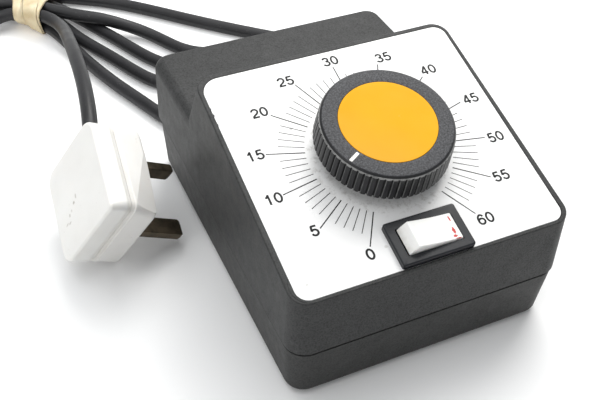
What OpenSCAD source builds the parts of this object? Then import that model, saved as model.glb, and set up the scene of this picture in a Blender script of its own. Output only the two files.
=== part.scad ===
// Desk timer with a large rotary dial, a rocker switch, a mains lead and its plug.
// Origin: centre of the footprint, on the surface that the rubber feet stand on. +Z up, front is -Y.

/* [Housing] */
// Width of the housing across the parting line
body_w = 113.8; // [110:0.2:118]
// Depth of the housing, front to back
body_d = 160.4; // [158:0.2:164]
// Height of the parting line above the feet
seam_z = 27.6; // [26:0.2:29]
// Height of the shadow gap between the two shells
seam_gap = 1.2; // [0.8:0.1:1.6]
// Wall thickness of both shells
wall = 2.5; // [2.2:0.1:2.6]
// Height of the flat deck behind the dial
deck_z = 58.2; // [57.2:0.2:58.8]
// Forward slope of the dial in degrees
tilt = 15.9; // [15.5:0.1:16.3]
// Height that the rubber feet stand out
foot_h = 1.5; // [1.2:0.1:2]

/* [Dial] */
// Half width of the white dial plate
plate_hw = 53.6; // [53:0.1:53.8]
// Thickness of the dial plate
plate_t = 1.2; // [1:0.1:1.2]
// Radius of the knob over its ribs
knob_r = 25.7; // [24:0.1:26.5]
// Number of ribs round the knob
knob_ribs = 63; // [48:1:72]
// Radius of the coloured disc in the knob
disc_r = 18.3; // [17:0.1:19]
// Where the pointer stands at rest, in degrees from +X
pointer_a = -150; // [-180:1:-120]

/* [Switch] */
// Length of the switch bezel
bezel_l = 28.6; // [28:0.2:30]
// Width of the switch bezel
bezel_w = 17.6; // [17:0.2:18]
// Tilt of the rocker at rest, in degrees
rocker_a = 10.5; // [9:0.5:10.5]

/* [Lead] */
// Diameter of the mains lead
lead_d = 7; // [6.6:0.1:7]
// Width of the plug over its pin face
plug_w = 45; // [44:0.5:46]

/* [Hidden] */

hw = body_w/2;
hd = body_d/2;
low_top = seam_z - seam_gap;
// the dial centre, on the top face of the plate
dial_y = -31;
dial_z = 68.2;
sw_y = -40.6;      // switch centre, in the sloped frame
piv_z = -3.7;      // rocker pivot, in the sloped frame
deck = deck_z;
lead_r = lead_d/2;
exit_x = 40;
exit_z = 14;
outlet_x = 18;
outlet_z = 42;

// lead from the wall, through its relief, along the back of the bundle to the tie
exit_pts = [[40,79.9,14],[40,96,14],[40,110,13.9],[42,119,12],[45,129,8.3],[45,138,5.2],[41,146.5,3.8],[34,154,3.6],[25.5,162.5,3.6],[10,178,3.6],[-8.5,197,3.6],[-27,217,3.6],[-46.5,235,3.6],[-60,242.5,3.8],[-74,249.5,4.8]];
// lead from the tie over to the plug
tail_pts = [[-86,217,12.9],[-81,211.3,12.4],[-78.2,202,13.2],[-77.9,185,18.2],[-79,173.3,22.6],[-80.3,152,29.6],[-82.2,128.3,35.3],[-84.5,102.2,39],[-87.4,80.8,39.7],[-89.9,66.9,38.3],[-93.6,54.5,35.1]];

module on_plate() translate([0,dial_y,dial_z]) rotate([tilt,0,0]) children();
module plug_place() translate([-84.8,39.4,25]) rotate([-149.5,-56.5,-31.5]) children();

// four thin posts that span a rounded rectangle, for use inside a hull
module corners(x, y0, y1, r, z, h=0.1)
  for (i=[-1,1]) { translate([i*(x-r),y0+r,z]) cylinder(r=r,h=h,$fn=32);
                   translate([i*(x-r),y1-r,z]) cylinder(r=r,h=h,$fn=32); }
// exact rounded rectangle prism
module rprism(x0,x1,y0,y1,r,z0,z1) translate([0,0,z0]) linear_extrude(z1-z0) union() {
  translate([x0+r,y0]) square([x1-x0-2*r,y1-y0]);
  translate([x0,y0+r]) square([x1-x0,y1-y0-2*r]);
  for (x=[x0+r,x1-r], y=[y0+r,y1-r]) translate([x,y]) circle(r=r,$fn=32);
}
module rect(x0,x1,y0,y1,z0,z1) translate([x0,y0,z0]) cube([x1-x0,y1-y0,z1-z0]);

// smooth sweep of a round section along hand-set points
function unit(v) = v/norm(v);
function crp(a,b,c,d,t) = 0.5*((2*b)+(c-a)*t+(2*a-5*b+4*c-d)*t*t+(3*b-a-3*c+d)*t*t*t);
function dense(p,k) = let(n=len(p)) concat([for (i=[0:n-2], j=[0:k-1])
  crp(p[max(i-1,0)],p[i],p[i+1],p[min(i+2,n-1)],j/k)], [p[n-1]]);
module sweep(p, r, s=10, ref=[0,0,1]) {
  n = len(p);
  T = [for (i=[0:n-1]) unit(p[min(i+1,n-1)]-p[max(i-1,0)])];
  U = [for (i=[0:n-1]) unit(cross(T[i], ref))];
  V = [for (i=[0:n-1]) cross(T[i],U[i])];
  polyhedron(points=[for (i=[0:n-1], a=[0:s-1]) p[i]+r*(cos(360*a/s)*U[i]+sin(360*a/s)*V[i])],
    faces=concat([[for (a=[0:s-1]) a]], [[for (a=[s-1:-1:0]) (n-1)*s+a]],
      [for (i=[0:n-2], a=[0:s-1]) [i*s+a, (i+1)*s+a, (i+1)*s+(a+1)%s, i*s+(a+1)%s]]));
}

// ---------------------------------------------------------------- housing
boss_xy = [[-48.5,-70],[48.5,-70],[-48.5,70],[48.5,70]];

module upper_case() color([0.23,0.235,0.24]) difference() {
  union() {
    difference() {
      union() {
        difference() {
          hull() {                                 // main box with a rounded deck edge
            corners(hw,-hd,hd,8.3,seam_z);
            corners(hw-0.75,-hd+0.15,hd-0.6,8.3,deck-3.2);
            corners(hw-1.6,-hd+1,hd-1.5,7.6,deck-0.9);
            corners(hw-3.2,-hd+3,hd-3.2,6,deck-0.1);
          }
          on_plate() rect(-70,70,-64,-36,0.2,20);   // front edge follows the slope
        }
        hull() {                                   // wedge that carries the dial
          on_plate() corners(55.2,-50.6,52.4,6.0,0.1);
          on_plate() corners(55.9,-51.2,53.1,6.6,-0.9);
          corners(hw-0.65,-hd+0.1,38.4,8.3,50);
        }
      }
      hull() {                                     // hollow of the box
        corners(hw-wall,-hd+wall,hd-wall,6,seam_z-0.2);
        corners(hw-wall-0.7,-hd+wall+0.1,hd-wall-0.6,6,50.4);
      }
      rect(-hw+wall+0.9,hw-wall-0.9,10,hd-wall-3,50,deck-wall);
      hull() {                                     // hollow of the wedge
        on_plate() corners(53,-48.4,50,5,-4.1);
        corners(hw-wall-0.8,-hd+wall+0.1,35.4,6,49.9);
      }
      on_plate() rprism(-plate_hw-0.25,plate_hw+0.25,-49.85,51.35,5.2,-plate_t,6);
    }
    // bosses for the case screws
    for (p=boss_xy) translate([p[0],p[1],20]) cylinder(r=4,h=(p[1]<0 ? 34.4 : deck-21.4),$fn=48);
  }
  for (p=boss_xy) translate([p[0],p[1],19]) cylinder(r=1.5,h=15,$fn=32);
  on_plate() translate([0,0,-8]) cylinder(r=5.2,h=12,$fn=48);
  on_plate() rect(-13.75,13.75,sw_y-7.35,sw_y+7.35,-8,3);
  // rear outlet window
  rect(outlet_x-19,outlet_x+19,hd-6,hd+2,outlet_z-8.5,outlet_z+8.5);
  rect(outlet_x-26.2,outlet_x+26.2,hd-1.4,hd+2,outlet_z-10.8,outlet_z+10.8);
  for (i=[-1,1]) translate([outlet_x+i*22.3,hd-8,outlet_z]) rotate([-90,0,0]) cylinder(r=1.25,h=12,$fn=24);
}

module lower_case() color([0.2,0.205,0.21]) difference() {
  union() {
    difference() {
      hull() {
        corners(hw-0.4,-hd+0.5,hd-0.4,8.1,low_top-0.1);
        corners(hw-1.4,-hd+3.2,hd-0.9,7.8,foot_h+3);
        corners(hw-2.2,-hd+4.2,hd-1.8,7,foot_h+0.9);
        corners(hw-4.2,-hd+6.2,hd-3.8,5.5,foot_h);
      }
      hull() {
        corners(hw-wall-0.4,-hd+wall+0.5,hd-wall-0.4,5.8,low_top+0.5);
        corners(hw-wall-2.2,-hd+wall+4.4,hd-wall-1.6,5,foot_h+wall);
      }
    }
    // locating rim that closes the shadow gap
    difference() {
      rprism(-hw+wall+0.3,hw-wall-0.3,-hd+wall+0.3,hd-wall-0.3,5.7,21,31);
      rprism(-hw+wall+2.3,hw-wall-2.3,-hd+wall+2.3,hd-wall-2.3,4.2,20,32);
    }
    for (p=boss_xy) translate([p[0],p[1],foot_h+0.5]) cylinder(r=3.9,h=17.8,$fn=48);
    for (x=[-39,39], y=[-48,34]) translate([x,y,foot_h+0.5]) cylinder(r=3.6,h=10,$fn=40);
    // posts of the cord clamp
    for (x=[-8,8]) translate([exit_x+x,60,foot_h+0.5]) cylinder(r=3,h=8.4,$fn=36);
    // posts of the terminal block
    for (x=[-12,12]) translate([x,57,foot_h+0.5]) cylinder(r=3,h=6,$fn=36);
  }
  for (p=boss_xy) { translate([p[0],p[1],foot_h-1]) cylinder(r=3.1,h=7.1,$fn=40);
                    translate([p[0],p[1],foot_h-1]) cylinder(r=1.8,h=22,$fn=32); }
  for (x=[-39,39], y=[-48,34]) translate([x,y,6]) cylinder(r=1.3,h=8,$fn=32);
  for (x=[-8,8]) translate([exit_x+x,60,5]) cylinder(r=1.3,h=8,$fn=32);
  for (x=[-12,12]) translate([x,57,4.6]) cylinder(r=1.3,h=6,$fn=32);
  for (p=boss_xy) translate([p[0],p[1],20.1]) cylinder(r=4.4,h=12,$fn=48);
  // feet seats
  for (x=[-36,36], y=[-58,58]) translate([x,y,foot_h-1]) cylinder(r=3.05,h=2,$fn=36);
  // bore for the strain relief
  translate([exit_x,hd-9,exit_z]) rotate([-90,0,0]) cylinder(r=5.25,h=14,$fn=48);
}

module rubber_feet() color([0.08,0.08,0.08]) for (x=[-36,36], y=[-58,58]) translate([x,y,0])
  rotate_extrude($fn=40) polygon([[0,0],[4.4,0],[5,0.5],[5,foot_h-0.1],[3,foot_h-0.1],[3,foot_h+0.9],[0,foot_h+0.9]]);

module case_screws() color([0.7,0.7,0.72]) for (p=boss_xy) translate([p[0],p[1],0]) difference() {
  union() { translate([0,0,5.2]) cylinder(r=2.8,h=2.4,$fn=32); translate([0,0,7.5]) cylinder(r=1.45,h=23,$fn=24); }
  translate([-2,-0.35,4.6]) cube([4,0.7,1.5]);
  translate([-0.35,-2,4.6]) cube([0.7,4,1.5]);
}

module dial_plate() color([0.93,0.93,0.92]) on_plate() difference() {
  rprism(-plate_hw,plate_hw,-49.6,51.1,5,-plate_t,0);
  translate([0,0,-5]) cylinder(r=5.25,h=10,$fn=48);
  rect(-13.8,13.8,sw_y-7.4,sw_y+7.4,-5,5);
}

// ---------------------------------------------------------------- knob and potentiometer
kz0 = 5.6;    // underside of the knob above the plate
kz1 = 16.2;   // top of the ribs
kz2 = 17.4;   // top face
module knob() color([0.1,0.1,0.105]) on_plate() difference() {
  union() {
    translate([0,0,kz0]) linear_extrude(kz1-kz0) polygon([for (i=[0:knob_ribs-1], k=[0:3])
      let(a=(i+[0,0.42,0.62,0.9][k])*360/knob_ribs, r=knob_r-[0,0.12,0.75,0.75][k]) r*[cos(a),sin(a)]]);
    rotate_extrude($fn=96) polygon([[20,kz0+1],[knob_r-0.85,kz0+1],[knob_r-0.3,kz1-0.2],[knob_r-0.35,kz1+0.1],[knob_r-0.9,kz2-0.4],[knob_r-1.5,kz2],[20,kz2]]);
    translate([0,0,kz2-4]) cylinder(r=21,h=4,$fn=64);
  }
  // hollow underside round a hub
  rotate_extrude($fn=72) polygon([[6.5,kz0-1],[22.6,kz0-1],[22.2,kz2-2.8],[6.8,kz2-2.8]]);
  translate([0,0,kz0-1]) cylinder(r=3.03,h=9.5,$fn=40);
  translate([0,0,kz2-0.8]) cylinder(r=disc_r+0.12,h=3,$fn=72);
  rotate([0,0,pointer_a]) rect(19.0,24.0,-0.7,0.7,kz2-0.5,kz2+1);
  // radial hole for the grub screw
  translate([0,0,9]) rotate([0,0,pointer_a+90]) translate([2,0,0]) rotate([0,90,0]) cylinder(r=1.5,h=6,$fn=24);
  // recess for the nut
  translate([0,0,kz0-1]) cylinder(r=6.6,h=1.2,$fn=40);
}
module knob_disc() color([0.97,0.7,0.16]) on_plate() translate([0,0,kz2-0.8]) cylinder(r=disc_r,h=0.85,$fn=96);
module knob_pointer() color([0.95,0.95,0.92]) on_plate() rotate([0,0,pointer_a]) rect(19.1,23.9,-0.62,0.62,kz2-0.5,kz2+0.03);
module knob_grub_screw() color([0.75,0.6,0.3]) on_plate() translate([0,0,9]) rotate([0,0,pointer_a+90])
  translate([3.05,0,0]) rotate([0,90,0]) difference() { cylinder(r=1.45,h=3.3,$fn=24); translate([-1,-0.25,2.6]) cube([2,0.5,2]); }
module pot_shaft() color([0.78,0.78,0.8]) on_plate() union() {
  translate([0,0,-9]) cylinder(r=3,h=22.6,$fn=40);
  translate([0,0,-9]) cylinder(r=4.6,h=1.2,$fn=32);
  rect(-1.5,1.5,0,8.8,-9,-8.4);
}
module pot_body() color([0.55,0.5,0.42]) on_plate() difference() {
  union() {
    translate([0,0,-14.4]) cylinder(r=12,h=10.2,$fn=64);
    translate([0,0,-4.3]) cylinder(r=5.05,h=8.8,$fn=48);
    rect(-6,6,10,15,-12.6,-10.8);
  }
  translate([0,0,-6.5]) cylinder(r=3.06,h=14,$fn=40);
  translate([0,0,-12.8]) cylinder(r=9.8,h=6.4,$fn=48);
}
module pot_terminals() color([0.85,0.82,0.7]) on_plate() for (x=[-4.5,0,4.5]) difference() {
  rect(x-1.1,x+1.1,12.5,20,-10.7,-10.2);
  translate([x,18.4,-12]) cylinder(r=0.6,h=4,$fn=16);
}
module pot_washer() color([0.75,0.75,0.77]) on_plate() difference() {
  cylinder(r=8,h=0.8,$fn=48); translate([0,0,-1]) cylinder(r=5.15,h=3,$fn=48); }
module pot_nut() color([0.72,0.72,0.74]) on_plate() difference() {
  translate([0,0,0.85]) cylinder(r=7.4,h=2.3,$fn=6); cylinder(r=5.1,h=6,$fn=48); }

// ---------------------------------------------------------------- rocker switch
module on_switch() on_plate() translate([0,sw_y,0]) children();
module switch_body() color([0.09,0.09,0.1]) on_switch() difference() {
  union() {
    rprism(-bezel_l/2,bezel_l/2,-bezel_w/2,bezel_w/2,1.1,0,2.2);
    rprism(-bezel_l/2+0.4,bezel_l/2-0.4,-bezel_w/2+0.4,bezel_w/2-0.4,0.9,2.1,2.6);
    rect(-13.6,13.6,-7.2,7.2,-16,0.1);
    // spring wedges that hold the body in the panel
    for (i=[-1,1]) translate([i*13.5,0,0]) rotate([90,0,0]) linear_extrude(6,center=true)
      polygon([[0,-9.5],[i*0.9,-5.4],[i*0.9,-4.8],[0,-4.2]]);
  }
  rect(-12.0,12.0,-5.8,5.8,0.9,4);
  rect(-12.9,12.9,-5.8,5.8,-14.6,1);
  translate([0,8,piv_z]) rotate([90,0,0]) cylinder(r=1.3,h=16,$fn=32);
  for (x=[-9,0,9]) rect(x-0.5,x+0.5,-2.5,2.5,-18,-14);
}
module rocker() color([0.95,0.95,0.93]) on_switch() translate([0,0,piv_z]) rotate([0,rocker_a,0]) union() {
  rotate([90,0,0]) linear_extrude(10.8,center=true)
    polygon([[-9.6,8.5],[-4.8,8.26],[0,8.15],[4.8,8.26],[9.6,8.5],[11.9,3.9],[10.6,2.7],[2.4,-1.8],[-2.4,-1.8],[-10.6,2.7],[-11.9,3.9]]);
  rotate([90,0,0]) translate([0,0,-6.6]) cylinder(r=1.25,h=13.2,$fn=32);
  translate([0,0,-6.9]) cylinder(r=1.1,h=6,$fn=24);
}
module switch_contact() color([0.8,0.5,0.3]) on_switch() translate([0,0,piv_z]) rotate([0,rocker_a,0]) union() {
  rect(-8.4,8.4,-2,2,-7.4,-6.9);
  for (x=[-7.4,7.4]) translate([x,0,-8]) cylinder(r=1.1,h=0.7,$fn=24);
}
module switch_terminals() color([0.82,0.8,0.7]) on_switch() {
  for (x=[-9,0,9]) difference() {
    union() { rect(x-0.4,x+0.4,-2.4,2.4,-23.5,(x==0 ? -12.2 : -14.2));
      if (x != 0) { rect(x-sign(x)*2.1-2.4,x-sign(x)*2.1+2.4,-2.4,2.4,-14.6,-14.2); translate([sign(x)*5.9,0,-14.6]) cylinder(r=1.1,h=1.1,$fn=24); } }
    translate([x-1,0,-21.5]) rotate([0,90,0]) cylinder(r=0.9,h=2,$fn=16);
  }
}

// ---------------------------------------------------------------- circuit board and what sits on it
pz = 13.6;
module circuit_board() color([0.62,0.5,0.28]) difference() {
  rprism(-44,44,-53,39,2,12,pz);
  for (x=[-39,39], y=[-48,34]) translate([x,y,10]) cylinder(r=1.6,h=6,$fn=24);
}
module board_screws() color([0.72,0.72,0.74]) for (x=[-39,39], y=[-48,34]) translate([x,y,0]) difference() {
  union() { translate([0,0,6.5]) cylinder(r=1.25,h=7.2,$fn=24); translate([0,0,pz]) cylinder(r=2.7,h=1.7,$fn=28); }
  translate([-2,-0.35,pz+1]) cube([4,0.7,1]);
}
module transformer_core() color([0.35,0.35,0.38]) difference() {
  rect(8,40,4,19,pz+2,pz+29);
  for (x=[13.2,27.2]) rect(x,x+7.6,3,20,pz+7,pz+24);
}
module transformer_coil() color([0.75,0.4,0.2]) difference() {
  union() { rect(13.6,34.4,-1,24,pz+7.4,pz+23.6); rect(12,36,-2.5,-1,pz,pz+26); rect(12,36,24,25.5,pz,pz+26); }
  rect(20.6,27.4,3.7,19.3,pz+7,pz+24);
  rect(20.6,27.4,3.7,19.3,pz+7,pz+24);
}
module relay() color([0.12,0.25,0.5]) union() { rprism(-40,-11,10,23,0.8,pz+0.6,pz+24); rprism(-39.4,-11.6,10.6,22.4,0.6,pz+23.9,pz+25);
  for (x=[-37,-26,-14], y=[12.5,20.5]) rect(x-0.5,x+0.5,y-0.3,y+0.3,pz,pz+1); }
module electrolytic_capacitors() color([0.15,0.2,0.45]) for (c=[[0,31,5,18],[-6,-2,4,13],[6,-14,3,9]]) translate([c[0],c[1],pz]) difference() {
  rotate_extrude($fn=40) polygon([[0,0],[c[2]-0.4,0],[c[2],0.4],[c[2],1.6],[c[2]-0.35,2],[c[2],2.4],[c[2],c[3]-0.4],[c[2]-0.4,c[3]],[0,c[3]]]);
  translate([-c[2]*0.6,-0.15,c[3]-0.3]) cube([c[2]*1.2,0.3,1]);
  translate([-0.15,-c[2]*0.6,c[3]-0.3]) cube([0.3,c[2]*1.2,1]);
}
module film_capacitor() color([0.8,0.55,0.15]) rprism(-36,-18,-24,-17,1,pz,pz+11);
module axial(x,y,a,l,r,g) translate([x,y,pz+r+0.4]) rotate([0,0,a]) union() {
  rotate([0,90,0]) rotate_extrude($fn=24) polygon([[0,-l/2],[r,-l/2],[r,-l/2+l*0.2],[r*0.86,-l/2+l*0.26],[r*0.86,l/2-l*0.26],[r,l/2-l*0.2],[r,l/2],[0,l/2]]);
  translate([-g/2,0,0]) rotate([0,90,0]) cylinder(r=0.3,h=g,$fn=16);
  for (i=[-1,1]) translate([i*g/2,0,-r-0.4]) cylinder(r=0.3,h=r+0.7,$fn=16);
}
module resistors() color([0.8,0.68,0.5]) for (c=[[-30,-32,0],[-30,-37,0],[-30,-42,0],[-12,-30,90],[-7,-30,90],[-2,-30,90],[18,-30,0],[18,-36,0]])
  axial(c[0],c[1],c[2],6.4,1.2,10.5);
module diodes() color([0.1,0.1,0.1]) for (c=[[20,-12,90],[25,-12,90],[30,-12,90],[35,-12,90]]) axial(c[0],c[1],c[2],5,1.1,9.5);
module transistors() color([0.08,0.08,0.08]) for (c=[[6,-28],[6,-36],[6,-44]]) translate([c[0],c[1],pz]) union() {
  translate([0,0,3]) difference() { cylinder(r=2.4,h=4.8,$fn=32); rect(-3,3,1.3,3,-1,6); }
  for (i=[-1.27,0,1.27]) rect(i-0.22,i+0.22,-0.22,0.22,0,3.2);
}
module timer_chip() color([0.1,0.1,0.11]) union() {
  rect(-19,-9,-15,-8.6,pz+0.8,pz+4.2);
  for (i=[0:3], y=[-15.9,-8.2]) rect(-18.1+i*2.54-0.3,-18.1+i*2.54+0.3,y,y+0.5,pz,pz+2.4);
  for (i=[0:3]) rect(-18.1+i*2.54-0.6,-18.1+i*2.54+0.6,-15.9,-7.7,pz+1.9,pz+2.4);
}
module trimmer() color([0.85,0.45,0.1]) union() { rect(-37,-29,-10,-2,pz,pz+4); difference() { translate([-33,-6,pz+4]) cylinder(r=2.6,h=0.9,$fn=32); rect(-35.2,-30.8,-6.3,-5.7,pz+4.4,pz+6); } }
module fuse() color([0.8,0.85,0.85]) translate([23,-44,pz+4.6]) rotate([0,90,0]) union() {
  cylinder(r=2.4,h=20,center=true,$fn=32); for (i=[-1,1]) translate([0,0,i*7.4]) cylinder(r=2.6,h=5.2,center=true,$fn=32); }
module fuse_clips() color([0.8,0.75,0.5]) for (x=[15.6,30.4]) difference() {
  rect(x-1.6,x+1.6,-47.3,-40.7,pz,pz+7);
  translate([x,-44,pz+4.6]) rotate([0,90,0]) cylinder(r=2.66,h=8,center=true,$fn=32);
  rect(x-3,x+3,-45.9,-42.1,pz+5,pz+9);
}
module terminal_block() color([0.9,0.89,0.84]) difference() {
  rprism(-17,17,52,62,1,foot_h+6.5,foot_h+17.5);
  for (x=[-12,12]) translate([x,57,foot_h+5]) cylinder(r=1.6,h=14,$fn=24);
  for (x=[-6.2,0,6.2]) { translate([x,50,foot_h+11]) rotate([-90,0,0]) cylinder(r=1.8,h=14,$fn=24);
    for (y=[54.6,59.4]) translate([x,y,foot_h+12]) cylinder(r=1.5,h=7,$fn=24); }
}
module terminal_screws() color([0.75,0.72,0.6]) { for (x=[-6.2,0,6.2], y=[54.6,59.4]) translate([x,y,foot_h+13]) difference() { cylinder(r=1.4,h=3.6,$fn=24); rect(-2,2,-0.25,0.25,2.8,5); }
  for (x=[-12,12]) translate([x,57,0]) union() { translate([0,0,foot_h+3.4]) cylinder(r=1.25,h=14.2,$fn=24); translate([0,0,foot_h+17.5]) cylinder(r=2.6,h=1.6,$fn=24); } }

// ---------------------------------------------------------------- rear outlet
module on_outlet() translate([outlet_x,hd-1.35,outlet_z]) rotate([90,0,0]) children();
module outlet_socket() color([0.1,0.1,0.1]) on_outlet() difference() {
  union() {
    rprism(-26,26,-10.6,10.6,2,-1.15,0);
    rprism(-18.7,18.7,-8.2,8.2,1,-0.1,18);
  }
  rprism(-16.6,16.6,-6.6,6.6,5.5,-3,10.2);
  for (i=[-1,1]) translate([i*9.5,0,5]) cylinder(r=2.6,h=11.4,$fn=32);
  for (i=[-1,1]) { rect(i*9.5-0.6,i*9.5+0.6,-2.2,2.2,15,20);
    translate([i*22.3,0,-3]) cylinder(r=1.5,h=6,$fn=24); }
}
module outlet_contacts() color([0.85,0.7,0.35]) on_outlet() for (i=[-1,1]) translate([i*9.5,0,0]) difference() {
  union() { translate([0,0,11]) cylinder(r=2.5,h=5.3,$fn=32); rect(-0.4,0.4,-2,2,16.2,24); }
  translate([0,0,10]) cylinder(r=2.05,h=5.4,$fn=32);
  translate([-1,0,22]) rotate([0,90,0]) cylinder(r=0.8,h=2,$fn=16);
}
module outlet_screws() color([0.7,0.7,0.72]) on_outlet() for (i=[-1,1]) translate([i*22.3,0,0]) difference() {
  union() { translate([0,0,-1.2]) cylinder(r=1.2,h=7,$fn=24); translate([0,0,-2.2]) cylinder(r=2.4,h=1.04,$fn=28); }
  translate([-3,-0.3,-2.5]) cube([6,0.6,0.8]);
}

// ---------------------------------------------------------------- lead
module strain_relief() color([0.07,0.07,0.075]) translate([exit_x,0,exit_z]) rotate([-90,0,0]) rotate_extrude($fn=48)
  polygon([[3.56,hd-6],[6.2,hd-6],[6.2,hd-4.6],[5.2,hd-4.4],[5.2,hd-0.3],[7.4,hd-0.3],[7.4,hd+0.9],[6.6,hd+1.7],[5.6,hd+2],
    [5.45,hd+6],[4.9,hd+6.2],[4.9,hd+7.2],[5.3,hd+7.4],[5.15,hd+11],[4.65,hd+11.2],[4.65,hd+12.2],[5.0,hd+12.4],[4.85,hd+16],[4.4,hd+16.2],[4.4,hd+17.2],[4.7,hd+17.4],[4.45,hd+23],[4.1,hd+23.8],[3.56,hd+23.8]]);
module inner_lead() color([0.2,0.2,0.21]) translate([exit_x,50,exit_z]) rotate([-90,0,0]) cylinder(r=3.45,h=29.9,$fn=32);
module cord_clamp() color([0.85,0.84,0.8]) difference() {
  rprism(exit_x-11,exit_x+11,57,63,1.5,10.5,exit_z+6.2);
  translate([exit_x,50,exit_z]) rotate([-90,0,0]) cylinder(r=3.5,h=20,$fn=32);
  rect(exit_x-3.5,exit_x+3.5,50,70,9,exit_z);
  for (x=[-8,8]) translate([exit_x+x,60,5]) cylinder(r=1.55,h=20,$fn=24);
}
module clamp_screws() color([0.72,0.72,0.74]) for (x=[-8,8]) translate([exit_x+x,60,0]) union() {
  translate([0,0,6]) cylinder(r=1.25,h=14.3,$fn=24); translate([0,0,exit_z+6.2]) cylinder(r=2.7,h=1.8,$fn=24); }

module wires_brown() color([0.4,0.2,0.1]) {
  sweep(dense([[38.5,48.9,15.4],[30,46,17],[18,46,17],[9,48,13.5],[6.2,52,12.5],[6.2,54.5,12.5]],3),1.1,8);
  sweep(dense([[6.2,59.5,12.5],[6.2,62,12.5],[8,66,14],[16,68,19],[30,64,26],[42,50,31],[47,10,34],[38,-30,34],[16,-58,32],[9,-63.6,33.6]],3),1.1,8);
}
module wires_blue() color([0.15,0.25,0.6]) {
  sweep(dense([[42.5,48.9,15.4],[34,42,20],[16,42,20],[3,47,14.5],[0,52,12.5],[0,54.5,12.5]],3),1.1,8);
  sweep(dense([[0,59.5,12.5],[0,62,12.5],[0,66,17],[1.5,64,25],[4,56,33],[7,51.5,38],[8.5,53.4,42]],3),1.1,8,[1,0,0]);
}
module wires_signal() color([0.75,0.75,0.78]) for (k=[-1,0,1])
  sweep(dense([[k*4.5,-8.6,63.8],[k*4.5,-3,61],[k*4,3,50],[-8+k*3,1,34],[-22+k*3,-4,24],[-24+k*3,-6,pz+0.1]],3),0.7,8,[1,0,0]);

module cord_exit() color([0.2,0.2,0.21]) sweep(dense(exit_pts,1),lead_r,10);
module cord_tail() color([0.2,0.2,0.21]) sweep(dense(tail_pts,1),lead_r,10);
// outer shape of the folded lead: two open folds behind the housing, a tied neck, three closed folds beyond
module cord_hank() color([0.2,0.2,0.21]) union() {
  hull() {
    translate([-24,106.5,0]) cylinder(r=23.5,h=7.2,$fn=32);
    translate([18,131,0]) cylinder(r=24.5,h=7.2,$fn=32);
    translate([-34,193,0]) cylinder(r=6,h=7.2,$fn=32);
    translate([-72,196,0]) cylinder(r=6.5,h=7.2,$fn=32);
  }
  hull() {
    translate([-34,193,0]) cylinder(r=6,h=7.2,$fn=32);
    translate([-72,196,0]) cylinder(r=6.5,h=7.2,$fn=32);
    translate([-84,219,0]) cylinder(r=6.5,h=14,$fn=32);
    translate([-74,232,0]) cylinder(r=8,h=14,$fn=32);
    translate([-76,249,0]) cylinder(r=5,h=8.4,$fn=24);
  }
  hull() {
    translate([-84,219,0]) cylinder(r=6.5,h=14,$fn=32);
    translate([-76,249,0]) cylinder(r=5,h=8.4,$fn=24);
    translate([-98,231,0]) cylinder(r=7,h=14,$fn=32);
    translate([-94,260,0]) cylinder(r=6,h=14,$fn=32);
  }
  hull() {
    translate([-98,231,0]) cylinder(r=7,h=14,$fn=32);
    translate([-94,260,0]) cylinder(r=6,h=14,$fn=32);
    translate([-160,263.5,0]) cylinder(r=27,h=14,$fn=32);
    translate([-157,231,0]) cylinder(r=24.5,h=14,$fn=32);
  }
}
module rubber_band() color([0.85,0.78,0.62]) translate([-86.5,237.5,0]) rotate([0,0,-22]) rotate([90,0,90])
  linear_extrude(17,center=true) difference() {
    translate([-25,0]) square([50,17.6]);
    translate([-23.8,-1]) square([47.6,17.4]);
  }

// ---------------------------------------------------------------- plug
pv0 = -16.2; pv1 = 30; pd = 23.4;
module plug_base() color([0.9,0.9,0.89]) plug_place() difference() {
  hull() {
    corners(plug_w/2-0.9,pv0+0.9,pv1-0.9,8.4,-0.1);
    corners(plug_w/2,pv0,pv1,9,-1.4);
    corners(plug_w/2,pv0,pv1,9,-8.8);
  }
  hull() { corners(plug_w/2-2.4,pv0+2.4,pv1-2.4,6.6,-3); corners(plug_w/2-2.4,pv0+2.4,pv1-2.4,6.6,-9.2); }
  rect(-15,-7.4,-2.4,2.4,-6,1); rect(7.4,15,-2.4,2.4,-6,1);
  rect(-2.2,2.2,17.8,26.6,-6,1);
  translate([0,pv0-2,-11.7]) rotate([-90,0,0]) cylinder(r=3.7,h=8,$fn=32);
  translate([0,8,-12]) cylinder(r=1.7,h=14,$fn=24);
  translate([0,8,-1.9]) cylinder(r=2.9,h=3,$fn=28);
}
module plug_cover() color([0.92,0.92,0.91]) plug_place() difference() {
  hull() {
    corners(plug_w/2,pv0,pv1,9,-9);
    corners(plug_w/2-0.6,pv0+0.6,pv1-0.6,8.4,-pd+3);
    corners(plug_w/2-1.3,pv0+1.3,pv1-1.3,7.8,-pd+1.2);
    corners(plug_w/2-3,pv0+3,pv1-3,6.4,-pd);
  }
  hull() { corners(plug_w/2-2.4,pv0+2.4,pv1-2.4,6.6,-8.5); corners(plug_w/2-3.2,pv0+3.2,pv1-3.2,6.2,-pd+2.4); }
  translate([0,pv0-2,-11.7]) rotate([-90,0,0]) cylinder(r=3.7,h=8,$fn=32);
}
module plug_flat_pins() color([0.3,0.28,0.24]) plug_place() for (x=[-11.1,11.1]) union() {
  rect(x-3.175,x+3.175,-2,2,-8,16.6);
  rect(x-2.5,x+2.5,-1.3,1.3,16.5,17.7);
}
module plug_earth_pin() color([0.3,0.28,0.24]) plug_place() union() {
  rect(-2,2,18.2,26.2,-8,21.4);
  rect(-1.3,1.3,18.9,25.5,21.3,22.7);
}
module plug_cover_screw() color([0.8,0.7,0.4]) plug_place() translate([0,8,0]) difference() {
  union() { translate([0,0,-pd+6]) cylinder(r=1.6,h=pd-7,$fn=24); translate([0,0,-1.85]) cylinder(r=2.75,h=1.5,$fn=28); }
  rect(-3,3,-0.35,0.35,-0.9,1);
}
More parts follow.
